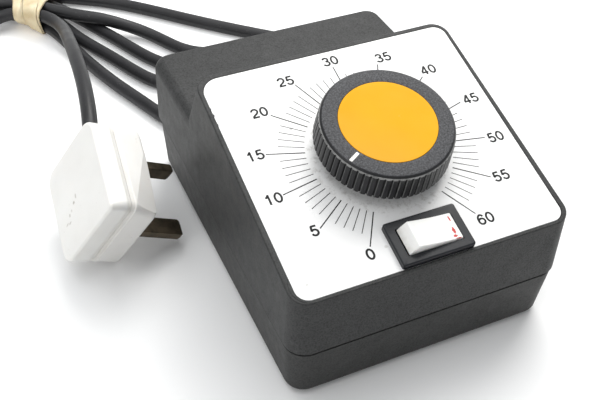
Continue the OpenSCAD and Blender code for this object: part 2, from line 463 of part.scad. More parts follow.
module plug_fuse() color([0.85,0.85,0.8]) plug_place() translate([11,10,-12.2]) rotate([-90,0,0]) union() {
  cylinder(r=3,h=14,$fn=32); cylinder(r=3.15,h=4.5,$fn=32); translate([0,0,9.5]) cylinder(r=3.15,h=4.5,$fn=32); }

upper_case();
lower_case();
rubber_feet();
case_screws();
dial_plate();
knob();
knob_disc();
knob_pointer();
knob_grub_screw();
pot_shaft();
pot_body();
pot_terminals();
pot_washer();
pot_nut();
switch_body();
rocker();
switch_contact();
switch_terminals();
circuit_board();
board_screws();
transformer_core();
transformer_coil();
relay();
electrolytic_capacitors();
film_capacitor();
resistors();
diodes();
transistors();
timer_chip();
trimmer();
fuse();
fuse_clips();
terminal_block();
terminal_screws();
outlet_socket();
outlet_contacts();
outlet_screws();
strain_relief();
inner_lead();
cord_clamp();
clamp_screws();
wires_brown();
wires_blue();
wires_signal();
cord_exit();
cord_tail();
cord_hank();
rubber_band();
plug_base();
plug_cover();
plug_flat_pins();
plug_earth_pin();
plug_cover_screw();
plug_fuse();
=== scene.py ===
import bpy, bmesh, math
import numpy as np
from mathutils import Matrix, Vector


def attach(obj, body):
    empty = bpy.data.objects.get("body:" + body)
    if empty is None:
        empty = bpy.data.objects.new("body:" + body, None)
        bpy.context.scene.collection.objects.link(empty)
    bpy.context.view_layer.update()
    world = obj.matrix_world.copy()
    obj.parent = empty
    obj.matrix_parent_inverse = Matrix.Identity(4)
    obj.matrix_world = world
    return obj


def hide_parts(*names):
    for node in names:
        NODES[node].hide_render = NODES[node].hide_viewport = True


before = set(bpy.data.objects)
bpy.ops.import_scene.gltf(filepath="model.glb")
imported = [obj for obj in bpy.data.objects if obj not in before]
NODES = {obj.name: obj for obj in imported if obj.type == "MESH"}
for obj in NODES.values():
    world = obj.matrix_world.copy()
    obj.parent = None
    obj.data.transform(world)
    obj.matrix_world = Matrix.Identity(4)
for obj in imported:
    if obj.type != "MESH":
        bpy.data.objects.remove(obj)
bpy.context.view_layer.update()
MM = 0.001
TAU = 2 * math.pi

# ------------------------------------------------------------------ camera, light, floor
scene = bpy.context.scene
scene.view_settings.view_transform = "Standard"
scene.view_settings.look = "None"
scene.view_settings.exposure = 0.0
scene.view_settings.gamma = 1.0

cam_data = bpy.data.cameras.new("camera")
cam = bpy.data.objects.new("camera", cam_data)
scene.collection.objects.link(cam)
cam_data.sensor_width = 36.0
cam_data.lens = 54.511
cam_data.clip_start, cam_data.clip_end = 0.02, 20.0
right = Vector((0.91425555, -0.40505956, 0.00797097))
down = Vector((-0.26429137, -0.6112101, -0.74603772))
fwd = Vector((0.30706165, 0.67996247, -0.66585597))
m = Matrix((right, -down, -fwd)).transposed().to_4x4()
m.translation = Vector((-0.136959, -0.262568, 0.281141))
cam.matrix_world = m
scene.camera = cam


def area(name, loc, target, size, power, colour=(1, 1, 1), size_y=None):
    d = bpy.data.lights.new(name, "AREA")
    d.energy, d.color, d.size = power, colour, size
    if size_y:
        d.shape, d.size_y = "RECTANGLE", size_y
    o = bpy.data.objects.new(name, d)
    scene.collection.objects.link(o)
    o.location = loc
    o.rotation_euler = (Vector(target) - Vector(loc)).to_track_quat("-Z", "Y").to_euler()
    return o


area("key_softbox", (0.55, 0.55, 1.05), (0, 0.02, 0.03), 0.9, 14.5, (1.0, 0.99, 0.97), 0.7)
area("top_softbox", (-0.25, 0.15, 1.3), (0, 0.0, 0.0), 1.2, 8.0, (0.99, 1.0, 1.0), 1.0)
area("front_fill", (-1.05, -0.45, 0.80), (-0.08, 0.03, 0.03), 0.8, 3.2, (1.0, 0.99, 0.975), 0.6)

world = bpy.data.worlds.new("studio")
scene.world = world
world.use_nodes = True
world.node_tree.nodes["Background"].inputs[0].default_value = (0.97, 0.985, 1.0, 1)
world.node_tree.nodes["Background"].inputs[1].default_value = 0.47

# ------------------------------------------------------------------ small tools


def T_plate():
    return Matrix.Translation((0, -31, 68.2)) @ Matrix.Rotation(math.radians(15.9), 4, "X")


def T_switch():
    return T_plate() @ Matrix.Translation((0, -40.6, 0))


def T_plug():
    return (Matrix.Translation((-84.8, 39.4, 25)) @ Matrix.Rotation(math.radians(-31.5), 4, "Z")
            @ Matrix.Rotation(math.radians(-56.5), 4, "Y") @ Matrix.Rotation(math.radians(-149.5), 4, "X"))


def mm_matrix(T):
    """A placing matrix in millimetres as one in metres."""
    M = T.copy()
    M.translation = T.translation * MM
    return M


def add(name, V, F, T=None, mats=(), smooth=True, fmat=None):
    """A new mesh object. V in millimetres, in the piece's own frame; T places that frame."""
    me = bpy.data.meshes.new(name)
    me.from_pydata([tuple(float(c) * MM for c in v) for v in V], [], [tuple(int(i) for i in f) for f in F])
    me.validate()
    me.update()
    o = bpy.data.objects.new(name, me)
    scene.collection.objects.link(o)
    if T is not None:
        o.matrix_world = mm_matrix(T)
    for mt in mats:
        me.materials.append(mt)
    if fmat is not None:
        me.polygons.foreach_set("material_index", np.array(fmat, dtype=np.int32))
    if smooth:
        me.polygons.foreach_set("use_smooth", np.ones(len(me.polygons), dtype=bool))
    return o


def fix_normals(o):
    bm = bmesh.new()
    bm.from_mesh(o.data)
    bmesh.ops.recalc_face_normals(bm, faces=bm.faces)
    bm.to_mesh(o.data)
    bm.free()
    return o


def tidy(o, angle=28.0, dissolve=0.25, weld=0.002):
    """Weld, merge flat faces, mark creases, and weight the normals by face area."""
    bm = bmesh.new()
    bm.from_mesh(o.data)
    bmesh.ops.remove_doubles(bm, verts=bm.verts, dist=weld * MM)
    if dissolve:
        bmesh.ops.dissolve_limit(bm, angle_limit=math.radians(dissolve), verts=bm.verts, edges=bm.edges)
    bmesh.ops.recalc_face_normals(bm, faces=bm.faces)
    for f in bm.faces:
        f.smooth = True
    for e in bm.edges:
        e.smooth = not (len(e.link_faces) == 2 and e.calc_face_angle(0) > math.radians(angle))
    bm.to_mesh(o.data)
    bm.free()
    w = o.modifiers.new("wn", "WEIGHTED_NORMAL")
    w.keep_sharp = True
    w.weight = 60
    return o


def apply_mods(o):
    dg = bpy.context.evaluated_depsgraph_get()
    ev = o.evaluated_get(dg)
    me = bpy.data.meshes.new_from_object(ev, preserve_all_data_layers=True, depsgraph=dg)
    old = o.data
    o.modifiers.clear()
    o.data = me
    if old.users == 0:
        bpy.data.meshes.remove(old)
    return o


def boolean(o, cutter, op="DIFFERENCE", keep=False):
    md = o.modifiers.new("b", "BOOLEAN")
    md.operation, md.object, md.solver = op, cutter, "EXACT"
    bpy.context.view_layer.update()
    apply_mods(o)
    if not keep:
        me = cutter.data
        bpy.data.objects.remove(cutter)
        if me.users == 0:
            bpy.data.meshes.remove(me)
    return o


def bevel(o, width, segments=3, angle=35.0):
    md = o.modifiers.new("bevel", "BEVEL")
    md.width, md.segments, md.limit_method = width * MM, segments, "ANGLE"
    md.angle_limit = math.radians(angle)
    md.use_clamp_overlap = True
    bpy.context.view_layer.update()
    return apply_mods(o)


def rrect(x0, x1, y0, y1, r, n=8):
    """A rounded rectangle, anticlockwise, as (x, y) points."""
    out = []
    for cx, cy, a0 in ((x1 - r, y0 + r, -90), (x1 - r, y1 - r, 0), (x0 + r, y1 - r, 90), (x0 + r, y0 + r, 180)):
        for k in range(n + 1):
            a = math.radians(a0 + 90 * k / n)
            out.append((cx + r * math.cos(a), cy + r * math.sin(a)))
    return out


def loft(rings, close=True, cap0=True, cap1=True):
    """Quads between rings of the same length; rings is a list of lists of (x, y, z)."""
    n = len(rings[0])
    V = [p for r in rings for p in r]
    F = []
    for k in range(len(rings) - 1):
        for i in range(n if close else n - 1):
            j = (i + 1) % n
            F.append((k * n + i, k * n + j, (k + 1) * n + j, (k + 1) * n + i))
    if cap0:
        F.append(tuple(range(n - 1, -1, -1)))
    if cap1:
        F.append(tuple((len(rings) - 1) * n + i for i in range(n)))
    return V, F


def flat(ring, z):
    return [(x, y, z) for x, y in ring]


def box(name, x0, x1, y0, y1, z0, z1, T=None):
    V = [(x, y, z) for z in (z0, z1) for x, y in ((x0, y0), (x1, y0), (x1, y1), (x0, y1))]
    F = [(3, 2, 1, 0), (4, 5, 6, 7), (0, 1, 5, 4), (1, 2, 6, 5), (2, 3, 7, 6), (3, 0, 4, 7)]
    return add(name, V, F, T, smooth=False)


def lathe(profile, n=96, closed=True, a0=0.0):
    """Revolves (r, z) points round z. closed joins the last point to the first."""
    m_ = len(profile)
    V, F = [], []
    for i in range(n):
        a = a0 + TAU * i / n
        V += [(r * math.cos(a), r * math.sin(a), z) for r, z in profile]
    for i in range(n):
        j = (i + 1) % n
        for k in range(m_ if closed else m_ - 1):
            l = (k + 1) % m_
            F.append((i * m_ + k, j * m_ + k, j * m_ + l, i * m_ + l))
    return V, F


def cyl(name, r, z0, z1, n=48, T=None, x=0.0, y=0.0):
    V = [(x + r * math.cos(TAU * i / n), y + r * math.sin(TAU * i / n), z) for z in (z0, z1) for i in range(n)]
    F = [tuple(range(n - 1, -1, -1)), tuple(range(n, 2 * n))] + [(i, (i + 1) % n, n + (i + 1) % n, n + i) for i in range(n)]
    return add(name, V, F, T, smooth=False)


def tube(P, r, sides=18, cap=True):
    """A round tube along P (mm) with a frame that doesn't twist."""
    P = np.asarray(P, float)
    n = len(P)
    Tn = np.gradient(P, axis=0)
    Tn /= np.linalg.norm(Tn, axis=1)[:, None]
    u = np.cross(Tn[0], (0, 0, 1.0))
    if np.linalg.norm(u) < 1e-3:
        u = np.array([1.0, 0, 0])
    u /= np.linalg.norm(u)
    V, F = [], []
    rr = np.broadcast_to(np.asarray(r, float), (n,))
    for i in range(n):
        u = u - Tn[i] * (u @ Tn[i])
        u /= np.linalg.norm(u)
        v = np.cross(Tn[i], u)
        for k in range(sides):
            a = TAU * k / sides
            V.append(P[i] + rr[i] * (math.cos(a) * u + math.sin(a) * v))
    for i in range(n - 1):
        for k in range(sides):
            l = (k + 1) % sides
            F.append((i * sides + k, i * sides + l, (i + 1) * sides + l, (i + 1) * sides + k))
    if cap:
        F.append(tuple(range(sides - 1, -1, -1)))
        F.append(tuple((n - 1) * sides + k for k in range(sides)))
    return V, F


def place(o, body, slot, *nodes):
    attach(o, body)
    if nodes:
        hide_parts(*nodes)
    return o


# ------------------------------------------------------------------ materials
class Mat:
    """A node material, written as small expressions."""

    def __init__(self, name, **kw):
        self.m = bpy.data.materials.new(name)
        self.m.use_nodes = True
        self.t = self.m.node_tree
        self.p = self.t.nodes["Principled BSDF"]
        self.coord = self.t.nodes.new("ShaderNodeTexCoord").outputs["Object"]
        for k, v in kw.items():
            self.set(k, v)

    def set(self, socket, v):
        s = self.p.inputs[socket.replace("_", " ")] if socket.replace("_", " ") in self.p.inputs else self.p.inputs[socket]
        if isinstance(v, bpy.types.NodeSocket):
            self.t.links.new(v, s)
        elif isinstance(v, (tuple, list)) and len(v) == 3 and s.type == "RGBA":
            s.default_value = (*v, 1)
        else:
            s.default_value = v
        return self

    def _in(self, node, i, v):
        if v is None:
            return
        s = node.inputs[i]
        if isinstance(v, bpy.types.NodeSocket):
            self.t.links.new(v, s)
        elif isinstance(v, (tuple, list)) and s.type == "RGBA" and len(v) == 3:
            s.default_value = (*v, 1)
        else:
            s.default_value = v

    def scaled(self, sx, sy=None, sz=None, rot=(0, 0, 0), loc=(0, 0, 0)):
        n = self.t.nodes.new("ShaderNodeMapping")
        self._in(n, "Vector", self.coord)
        n.inputs["Scale"].default_value = (sx, sy or sx, sz or sx)
        n.inputs["Rotation"].default_value = rot
        n.inputs["Location"].default_value = loc
        return n.outputs[0]

    def noise(self, scale, detail=3.0, rough=0.55, vec=None, distort=0.0):
        n = self.t.nodes.new("ShaderNodeTexNoise")
        self._in(n, "Vector", vec or self.coord)
        self._in(n, "Scale", scale); self._in(n, "Detail", detail); self._in(n, "Roughness", rough); self._in(n, "Distortion", distort)
        return n.outputs["Fac"]

    def voronoi(self, scale, vec=None, feature="F1", out="Distance", random=1.0):
        n = self.t.nodes.new("ShaderNodeTexVoronoi")
        n.feature = feature
        self._in(n, "Vector", vec or self.coord)
        self._in(n, "Scale", scale); self._in(n, "Randomness", random)
        return n.outputs[out]

    def wave(self, scale, vec=None, kind="BANDS", direction="X", distort=0.0, detail=1.0, dscale=1.0, profile="SIN"):
        n = self.t.nodes.new("ShaderNodeTexWave")
        n.wave_type = kind
        n.wave_profile = profile
        if kind == "BANDS":
            n.bands_direction = direction
        else:
            n.rings_direction = direction
        self._in(n, "Vector", vec or self.coord)
        self._in(n, "Scale", scale); self._in(n, "Distortion", distort); self._in(n, "Detail", detail); self._in(n, "Detail Scale", dscale)
        return n.outputs["Fac"]

    def math(self, op, a, b=None, c=None, clamp=False):
        n = self.t.nodes.new("ShaderNodeMath")
        n.operation, n.use_clamp = op, clamp
        self._in(n, 0, a); self._in(n, 1, b); self._in(n, 2, c)
        return n.outputs[0]

    def range(self, v, a, b, c=0.0, d=1.0, smooth=False):
        n = self.t.nodes.new("ShaderNodeMapRange")
        n.clamp = True
        if smooth:
            n.interpolation_type = "SMOOTHSTEP"
        for i, x in enumerate((v, a, b, c, d)):
            self._in(n, i, x)
        return n.outputs[0]

    def mix(self, f, a, b, blend="MIX"):
        n = self.t.nodes.new("ShaderNodeMix")
        n.data_type, n.blend_type = "RGBA", blend
        for name, x in (("Factor", f), ("A", a), ("B", b)):
            s = [q for q in n.inputs if q.name == name and (q.type == "RGBA" if name != "Factor" else q.type == "VALUE")][0]
            if isinstance(x, bpy.types.NodeSocket):
                self.t.links.new(x, s)
            elif isinstance(x, (tuple, list)):
                s.default_value = (*x[:3], 1)
            else:
                s.default_value = x
        return [q for q in n.outputs if q.type == "RGBA"][0]

    def xyz(self, vec=None):
        n = self.t.nodes.new("ShaderNodeSeparateXYZ")
        self._in(n, 0, vec or self.coord)
        return n.outputs

    def bump(self, height, dist, strength=1.0, normal=None):
        n = self.t.nodes.new("ShaderNodeBump")
        self._in(n, "Height", height)
        n.inputs["Distance"].default_value = dist * MM
        n.inputs["Strength"].default_value = strength
        if normal is not None:
            self.t.links.new(normal, n.inputs["Normal"])
        return n.outputs[0]

    def edge(self, radius=0.6, lo=0.0, hi=0.35):
        """1 near outer and inner creases, from the rounded normal."""
        b = self.t.nodes.new("ShaderNodeBevel")
        b.samples = 4
        b.inputs["Radius"].default_value = radius * MM
        g = self.t.nodes.new("ShaderNodeNewGeometry")
        d = self.t.nodes.new("ShaderNodeVectorMath")
        d.operation = "DOT_PRODUCT"
        self.t.links.new(b.outputs[0], d.inputs[0])
        self.t.links.new(g.outputs["Normal"], d.inputs[1])
        return self.range(d.outputs["Value"], 1.0 - lo, 1.0 - hi, 0.0, 1.0)


def shell_material(name, base=(0.0235, 0.0240, 0.0240), grain=1450):
    M = Mat(name, Roughness=0.5)
    big = M.noise(28, 3, 0.6)
    mid = M.noise(160, 4, 0.6)
    fine = M.noise(grain, 2, 0.75)
    c = M.mix(M.range(big, 0.3, 0.7), tuple(x * 0.85 for x in base), tuple(x * 1.15 for x in base))
    c = M.mix(M.range(fine, 0.36, 0.66, 0, 0.75), c, tuple(min(1, x * 2.1) for x in base))
    c = M.mix(M.range(fine, 0.48, 0.30, 0, 0.6), c, tuple(x * 0.35 for x in base))
    smear = M.math("MULTIPLY", M.range(M.noise(95, 5, 0.7), 0.56, 0.72), M.range(M.noise(22, 2), 0.45, 0.62))
    c = M.mix(M.math("MULTIPLY", smear, 0.35), c, (0.11, 0.11, 0.112))
    dust = M.math("MULTIPLY", M.range(M.voronoi(520), 0.0, 0.10, 1, 0), M.range(M.noise(60, 2), 0.58, 0.68))
    c = M.mix(M.math("MULTIPLY", dust, 0.4), c, (0.26, 0.25, 0.24))
    e = M.math("MULTIPLY", M.edge(0.5, 0.04, 0.35), M.range(mid, 0.35, 0.7))
    c = M.mix(M.math("MULTIPLY", e, 0.35), c, (0.12, 0.122, 0.12))
    M.set("Base Color", c)
    M.set("Roughness", M.range(mid, 0.25, 0.75, 0.46, 0.60))
    h = M.math("ADD", M.math("MULTIPLY", fine, 0.8), M.math("MULTIPLY", M.noise(720, 2, 0.6), 0.5))
    M.set("Normal", M.bump(h, 0.07, 0.7))
    M.p.inputs["Specular IOR Level"].default_value = 0.26
    return M.m


def plain(name, base, rough=0.45, metal=0.0, var=0.12, grain=1500, bump=0.02, scale=60, coat=0.0, spec=0.5, dirt=None):
    M = Mat(name)
    n1 = M.noise(scale, 3, 0.6)
    n2 = M.noise(grain, 2, 0.6)
    c = M.mix(M.range(n1, 0.3, 0.7), tuple(x * (1 - var) for x in base), tuple(min(1, x * (1 + var)) for x in base))
    if dirt:
        c = M.mix(M.range(M.noise(scale * 2.3, 4, 0.65), 0.58, 0.75, 0, 0.6), c, dirt)
    M.set("Base Color", c)
    M.set("Roughness", M.range(n1, 0.25, 0.75, max(0.02, rough - 0.06), min(1, rough + 0.06)))
    M.p.inputs["Metallic"].default_value = metal
    M.p.inputs["Coat Weight"].default_value = coat
    M.p.inputs["Specular IOR Level"].default_value = spec
    M.set("Normal", M.bump(n2, bump, 0.5))
    return M.m


SHELL = shell_material("shell_plastic")
SHELL_LOW = shell_material("shell_plastic_low", (0.0225, 0.0228, 0.0222))


def lead_material():
    M = Mat("lead_sheath")
    n1 = M.noise(90, 3, 0.6)
    n2 = M.noise(900, 3, 0.6)
    c = M.mix(M.range(n1, 0.3, 0.7), (0.014, 0.014, 0.0155), (0.021, 0.021, 0.023))
    scuff = M.math("MULTIPLY", M.range(M.noise(420, 5, 0.7), 0.60, 0.72), M.range(M.noise(45, 2), 0.45, 0.6))
    c = M.mix(M.math("MULTIPLY", scuff, 0.35), c, (0.16, 0.16, 0.16))
    M.set("Base Color", c)
    M.set("Roughness", M.range(n1, 0.3, 0.7, 0.38, 0.5))
    M.p.inputs["Specular IOR Level"].default_value = 0.34
    M.set("Normal", M.bump(n2, 0.03, 0.5))
    return M.m


LEAD = lead_material()


def floor_material():
    M = Mat("floor_paper", Roughness=0.75)
    n = M.noise(3.0, 3, 0.5)
    M.set("Base Color", M.mix(n, (0.865, 0.87, 0.875), (0.90, 0.90, 0.90)))
    M.set("Normal", M.bump(M.noise(700, 3, 0.6), 0.02, 0.25))
    M.p.inputs["Specular IOR Level"].default_value = 0.2
    # painted light: the sweep glows a little towards the back, standing in for more light from behind the object
    x, y, z = M.xyz()
    M.p.inputs["Emission Color"].default_value = (1, 1, 1, 1)
    M.set("Emission Strength", M.range(M.math("ADD", y, M.math("MULTIPLY", x, 0.35)), 0.02, 0.20, 0.0, 0.19, smooth=True))
    return M.m


def make_floor():
    """A flat sweep that curves up far behind."""
    n, V, F = 24, [], []
    prof = [(-4.0, 0.0), (3.0, 0.0)] + [(3.0 + 1.2 * math.sin(a), 1.2 - 1.2 * math.cos(a)) for a in np.linspace(0.1, math.pi / 2, 10)] + [(4.2, 4.0)]
    for x in (-5.0, 5.0):
        V += [(x * 1000, y * 1000, z * 1000) for y, z in prof]
    k = len(prof)
    F = [(i, k + i, k + i + 1, i + 1) for i in range(k - 1)]
    o = add("floor", V, F, mats=[floor_material()])
    return o


make_floor()

# ------------------------------------------------------------------ mains lead

# ------------------------------------------------------------------ housing
TP, TS, TG = T_plate(), T_switch(), T_plug()


def side_hw(z):
    return 56.9 - 0.0295 * (z - 27.6)


def rr_ring(hw, y0, y1, r, z, n=12):
    return flat(rrect(-hw, hw, y0, y1, r, n), z)


def rrect4(x0, x1, y0, y1, rs, n=12):
    """A rounded rectangle whose corners differ: front right, rear right, rear left, front left."""
    out = []
    for (cx, cy, sx, sy, a0), r in zip(((x1, y0, -1, 1, -90), (x1, y1, -1, -1, 0), (x0, y1, 1, -1, 90), (x0, y0, 1, 1, 180)), rs):
        for k in range(n + 1):
            a = math.radians(a0 + 90 * k / n)
            out.append((cx + sx * r + r * math.cos(a), cy + sy * r + r * math.sin(a)))
    return out


def on_plane(hw, y0, y1, r, zp, n=12, follow=None):
    """A rounded rectangle on the sloped frame, in world millimetres; follow scales it to the side planes."""
    out = []
    for x, y in rrect(-hw, hw, y0, y1, r, n):
        p = TP @ Vector((x, y, zp))
        if follow is not None:
            p.x *= (side_hw(p.z) - follow) / hw
        out.append((p.x, p.y, p.z))
    return out


def make_upper():
    # deck box, rounded over its top edge
    def R4(hw, y0, y1, rf, rb, z):
        return flat(rrect4(-hw, hw, y0, y1, (rf, rb, rb, rf)), z)
    rings = [R4(56.55, -79.85, 79.85, 8.0, 5.4, 27.6), R4(56.8, -80.1, 80.1, 8.25, 5.6, 27.7), R4(56.89, -80.19, 80.19, 8.3, 5.7, 27.95),
             R4(side_hw(53.4), -80.05, 79.8, 8.3, 5.7, 53.4)]
    for t in np.linspace(9, 90, 10):
        s_, c_ = math.sin(math.radians(t)), math.cos(math.radians(t))
        d = 4.4 * (1 - c_)
        rings.append(R4(side_hw(53.4) - d, -80.05 + d, 79.8 - d * 0.5, 8.3 - d * 0.75, 5.7 - d * 0.45, 53.4 + 4.8 * s_))
    A = add("upper_shell", *loft(rings))
    cut = box("c", -80, 80, -64, -30, 0.25, 40, TP)
    boolean(A, cut)
    # wedge under the dial
    wr = [rr_ring(56.55, -79.85, 50.6, 8.0, 27.6), rr_ring(56.8, -80.1, 50.8, 8.25, 27.7), rr_ring(56.89, -80.19, 50.9, 8.3, 27.95),
          on_plane(55.8, -51.25, 53.35, 7.0, -0.75, follow=0.0)]
    for t in np.linspace(15, 90, 6):
        s_, c_ = math.sin(math.radians(t)), math.cos(math.radians(t))
        d = 0.7 * (1 - c_)
        wr.append(on_plane(55.8, -51.25 + d * 0.8, 53.35 - d, 7.0 - d, -0.75 + 0.85 * s_, follow=d * 0.7))
    B = add("w", *loft(wr))
    boolean(A, B, "UNION")
    # hollow
    c1 = add("c1", *loft([rr_ring(54.4, -77.7, 77.7, 6, 27.0), rr_ring(54.4, -77.7, 77.7, 6, 27.6), rr_ring(53.7, -77.6, 77.1, 6, 50.4)]))
    boolean(A, c1)
    boolean(A, box("c2", -52.6, 52.6, 10, 76.6, 49.8, 55.7))
    ring_lo = rr_ring(53.6, -77.6, 35.4, 6, 49.7)
    c3 = add("c3", *loft([ring_lo, on_plane(53, -48.4, 50, 5, -4.1)]))
    boolean(A, c3)
    # bosses
    for x, y in ((-48.5, -70), (48.5, -70), (-48.5, 70), (48.5, 70)):
        b = cyl("b", 4, 20, 54.4 if y < 0 else 56.6, 40, None, x, y)
        boolean(A, b, "UNION")
        boolean(A, cyl("h", 1.5, 19, 34, 24, None, x, y))
    # seat of the dial plate
    seat = rrect4(-53.85, 53.85, -49.85, 51.35, (5.2, 5.2, 7.6, 5.2))
    boolean(A, add("rc", *loft([flat(seat, -1.2), flat(seat, 6)]), T=TP))
    boolean(A, cyl("hk", 5.2, -8, 4, 48, TP))
    boolean(A, box("hs", -13.75, 13.75, -47.95, -33.25, -8, 3, TP))
    # opening for the outlet at the back
    boolean(A, box("w1", -1, 37, 74.2, 82.2, 33.5, 50.5))
    boolean(A, box("w2", -8.2, 44.2, 78.8, 82.2, 31.2, 52.8))
    for i in (-1, 1):
        q = cyl("ws", 1.25, -6, 8, 24, Matrix.Translation((18 + i * 22.3, 80.2, 42)) @ Matrix.Rotation(math.radians(-90), 4, "X"))
        boolean(A, q)
    A.data.materials.clear()
    A.data.materials.append(SHELL)
    tidy(A, 30, dissolve=0.12)
    return place(A, "housing", "shell", "upper_case")


def make_lower():
    rings = []
    for t in np.linspace(0, 90, 8):
        s_, c_ = math.sin(math.radians(t)), math.cos(math.radians(t))
        d = 2.8 * (1 - s_)
        rings.append(rr_ring(55.5 - d, -77.0 + d * 1.07, 79.3 - d, 7.8 - d * 0.8, 1.5 + 3.0 * (1 - c_)))
    rings += [rr_ring(56.47, -79.65, 79.77, 8.1, 26.0), rr_ring(56.4, -79.58, 79.7, 8.05, 26.3), rr_ring(56.15, -79.35, 79.45, 7.8, 26.4)]
    A = add("lower_shell", *loft(rings))
    boolean(A, add("c", *loft([rr_ring(52.2, -73.3, 76.2, 5, 4.0), rr_ring(54.0, -77.2, 77.3, 5.8, 27)])))
    T = add("tongue", *loft([rr_ring(54.1, -77.4, 77.4, 5.7, 21), rr_ring(54.1, -77.4, 77.4, 5.7, 31)]))
    boolean(T, add("ti", *loft([rr_ring(52.1, -75.4, 75.4, 4.2, 20), rr_ring(52.1, -75.4, 75.4, 4.2, 32)])))
    boolean(A, T, "UNION")
    posts = [(x, y, 3.9, 1.9, 19.8) for x, y in ((-48.5, -70), (48.5, -70), (-48.5, 70), (48.5, 70))]
    posts += [(x, y, 3.6, 2.0, 12.0) for x in (-39, 39) for y in (-48, 34)]
    posts += [(40 + x, 60, 3.0, 2.0, 10.4) for x in (-8, 8)] + [(x, 57, 3.0, 2.0, 8.0) for x in (-12, 12)]
    for x, y, r, z0, z1 in posts:
        boolean(A, cyl("p", r, z0, z1, 36, None, x, y), "UNION")
    for x, y in ((-48.5, -70), (48.5, -70), (-48.5, 70), (48.5, 70)):
        boolean(A, cyl("h", 3.1, 0.5, 7.6, 36, None, x, y))
        boolean(A, cyl("h", 1.8, 0.5, 22.5, 32, None, x, y))
        boolean(A, cyl("h", 4.4, 20.1, 32.1, 40, None, x, y))
    for x, y, z0, z1 in [(x, y, 6, 14) for x in (-39, 39) for y in (-48, 34)] + [(48, 60, 5, 13), (32, 60, 5, 13), (-12, 57, 4.6, 10.6), (12, 57, 4.6, 10.6)]:
        boolean(A, cyl("h", 1.3, z0, z1, 24, None, x, y))
    for x in (-36, 36):
        for y in (-58, 58):
            boolean(A, cyl("f", 3.05, 0.5, 2.5, 36, None, x, y))
    boolean(A, cyl("g", 5.25, -9, 5, 48, Matrix.Translation((40, 80.2, 14)) @ Matrix.Rotation(math.radians(-90), 4, "X")))
    A.data.materials.clear()
    A.data.materials.append(SHELL_LOW)
    tidy(A, 30, dissolve=0.12)
    return place(A, "housing", "shell", "lower_case")


make_upper()
make_lower()


# ------------------------------------------------------------------ dial plate and its print
def plate_material():
    M = Mat("dial_plate_white")
    n1 = M.noise(45, 3, 0.6)
    c = M.mix(M.range(n1, 0.3, 0.7), (0.80, 0.80, 0.80), (0.85, 0.85, 0.845))
    # small dark specks, and a few scuffs
    sp = M.math("MULTIPLY", M.range(M.voronoi(330), 0.0, 0.07, 1, 0), M.range(M.noise(75, 2), 0.56, 0.62))
    c = M.mix(M.math("MULTIPLY", sp, 0.75), c, (0.16, 0.15, 0.13))
    sp2 = M.math("MULTIPLY", M.range(M.voronoi(150), 0.0, 0.035, 1, 0), M.range(M.noise(40, 2), 0.5, 0.56))
    c = M.mix(M.math("MULTIPLY", sp2, 0.6), c, (0.3, 0.25, 0.18))
    x, y, z = M.xyz()

    def smudge(cx, cy, rx, ry, f, colour):
        dx = M.math("DIVIDE", M.math("SUBTRACT", x, cx * MM), rx * MM)
        dy = M.math("DIVIDE", M.math("SUBTRACT", y, cy * MM), ry * MM)
        d = M.math("SQRT", M.math("ADD", M.math("MULTIPLY", dx, dx), M.math("MULTIPLY", dy, dy)))
        d = M.math("ADD", d, M.math("MULTIPLY", M.math("SUBTRACT", M.noise(900, 3, 0.7), 0.5), 1.8))
        return M.mix(M.math("MULTIPLY", M.range(d, 1.1, 0.5), f), c, colour)
    for args in ((-28.05, 19.3, 0.9, 0.7, 0.6, (0.30, 0.30, 0.29)), (-28.2, 14.6, 1.1, 0.9, 0.5, (0.42, 0.42, 0.41)), (7.4, -27.5, 0.7, 0.6, 0.6, (0.40, 0.39, 0.36)),
                 (9.1, -26.9, 0.6, 0.4, 0.35, (0.5, 0.5, 0.48)), (-16.1, -39.0, 0.8, 0.6, 0.45, (0.45, 0.43, 0.40)), (-48.5, -43.7, 0.6, 0.5, 0.5, (0.40, 0.38, 0.35))):
        c = smudge(*args)
    # a darker brown ring round the foot of the knob, broken up by noise
    ring = M.math("SQRT", M.math("ADD", M.math("MULTIPLY", x, x), M.math("MULTIPLY", y, y)))
    g = M.math("MULTIPLY", M.range(ring, 0.0310, 0.0262), M.range(M.noise(420, 4, 0.75), 0.5, 0.68))
    c = M.mix(M.math("MULTIPLY", g, 0.5), c, (0.30, 0.28, 0.25))
    M.set("Base Color", c)
    M.set("Roughness", M.range(M.noise(200, 4, 0.6), 0.3, 0.7, 0.34, 0.46))
    M.p.inputs["Coat Weight"].default_value = 0.05
    M.set("Normal", M.bump(M.noise(1200, 3, 0.6), 0.012, 0.4))
    return M.m


def ink_material():
    M = Mat("dial_ink")
    # the ink is worn lighter in patches
    patchiness = M.range(M.noise(700, 4, 0.7), 0.62, 0.75)
    c = M.mix(M.math("MULTIPLY", patchiness, 0.35), (0.010, 0.010, 0.011), (0.12, 0.12, 0.12))
    M.p.inputs["Specular IOR Level"].default_value = 0.2
    M.set("Base Color", c)
    M.set("Roughness", 0.5)
    M.set("Normal", M.bump(M.noise(1500, 2), 0.01, 0.3))
    return M.m


def fine_ink_material():
    M = Mat("dial_ink_fine")
    # the ink is worn lighter in patches
    patchiness = M.range(M.noise(500, 4, 0.7), 0.55, 0.75)
    c = M.mix(M.math("MULTIPLY", patchiness, 0.5), (0.035, 0.035, 0.036), (0.22, 0.22, 0.22))
    M.p.inputs["Specular IOR Level"].default_value = 0.2
    M.set("Base Color", c)
    M.set("Roughness", 0.55)
    return M.m


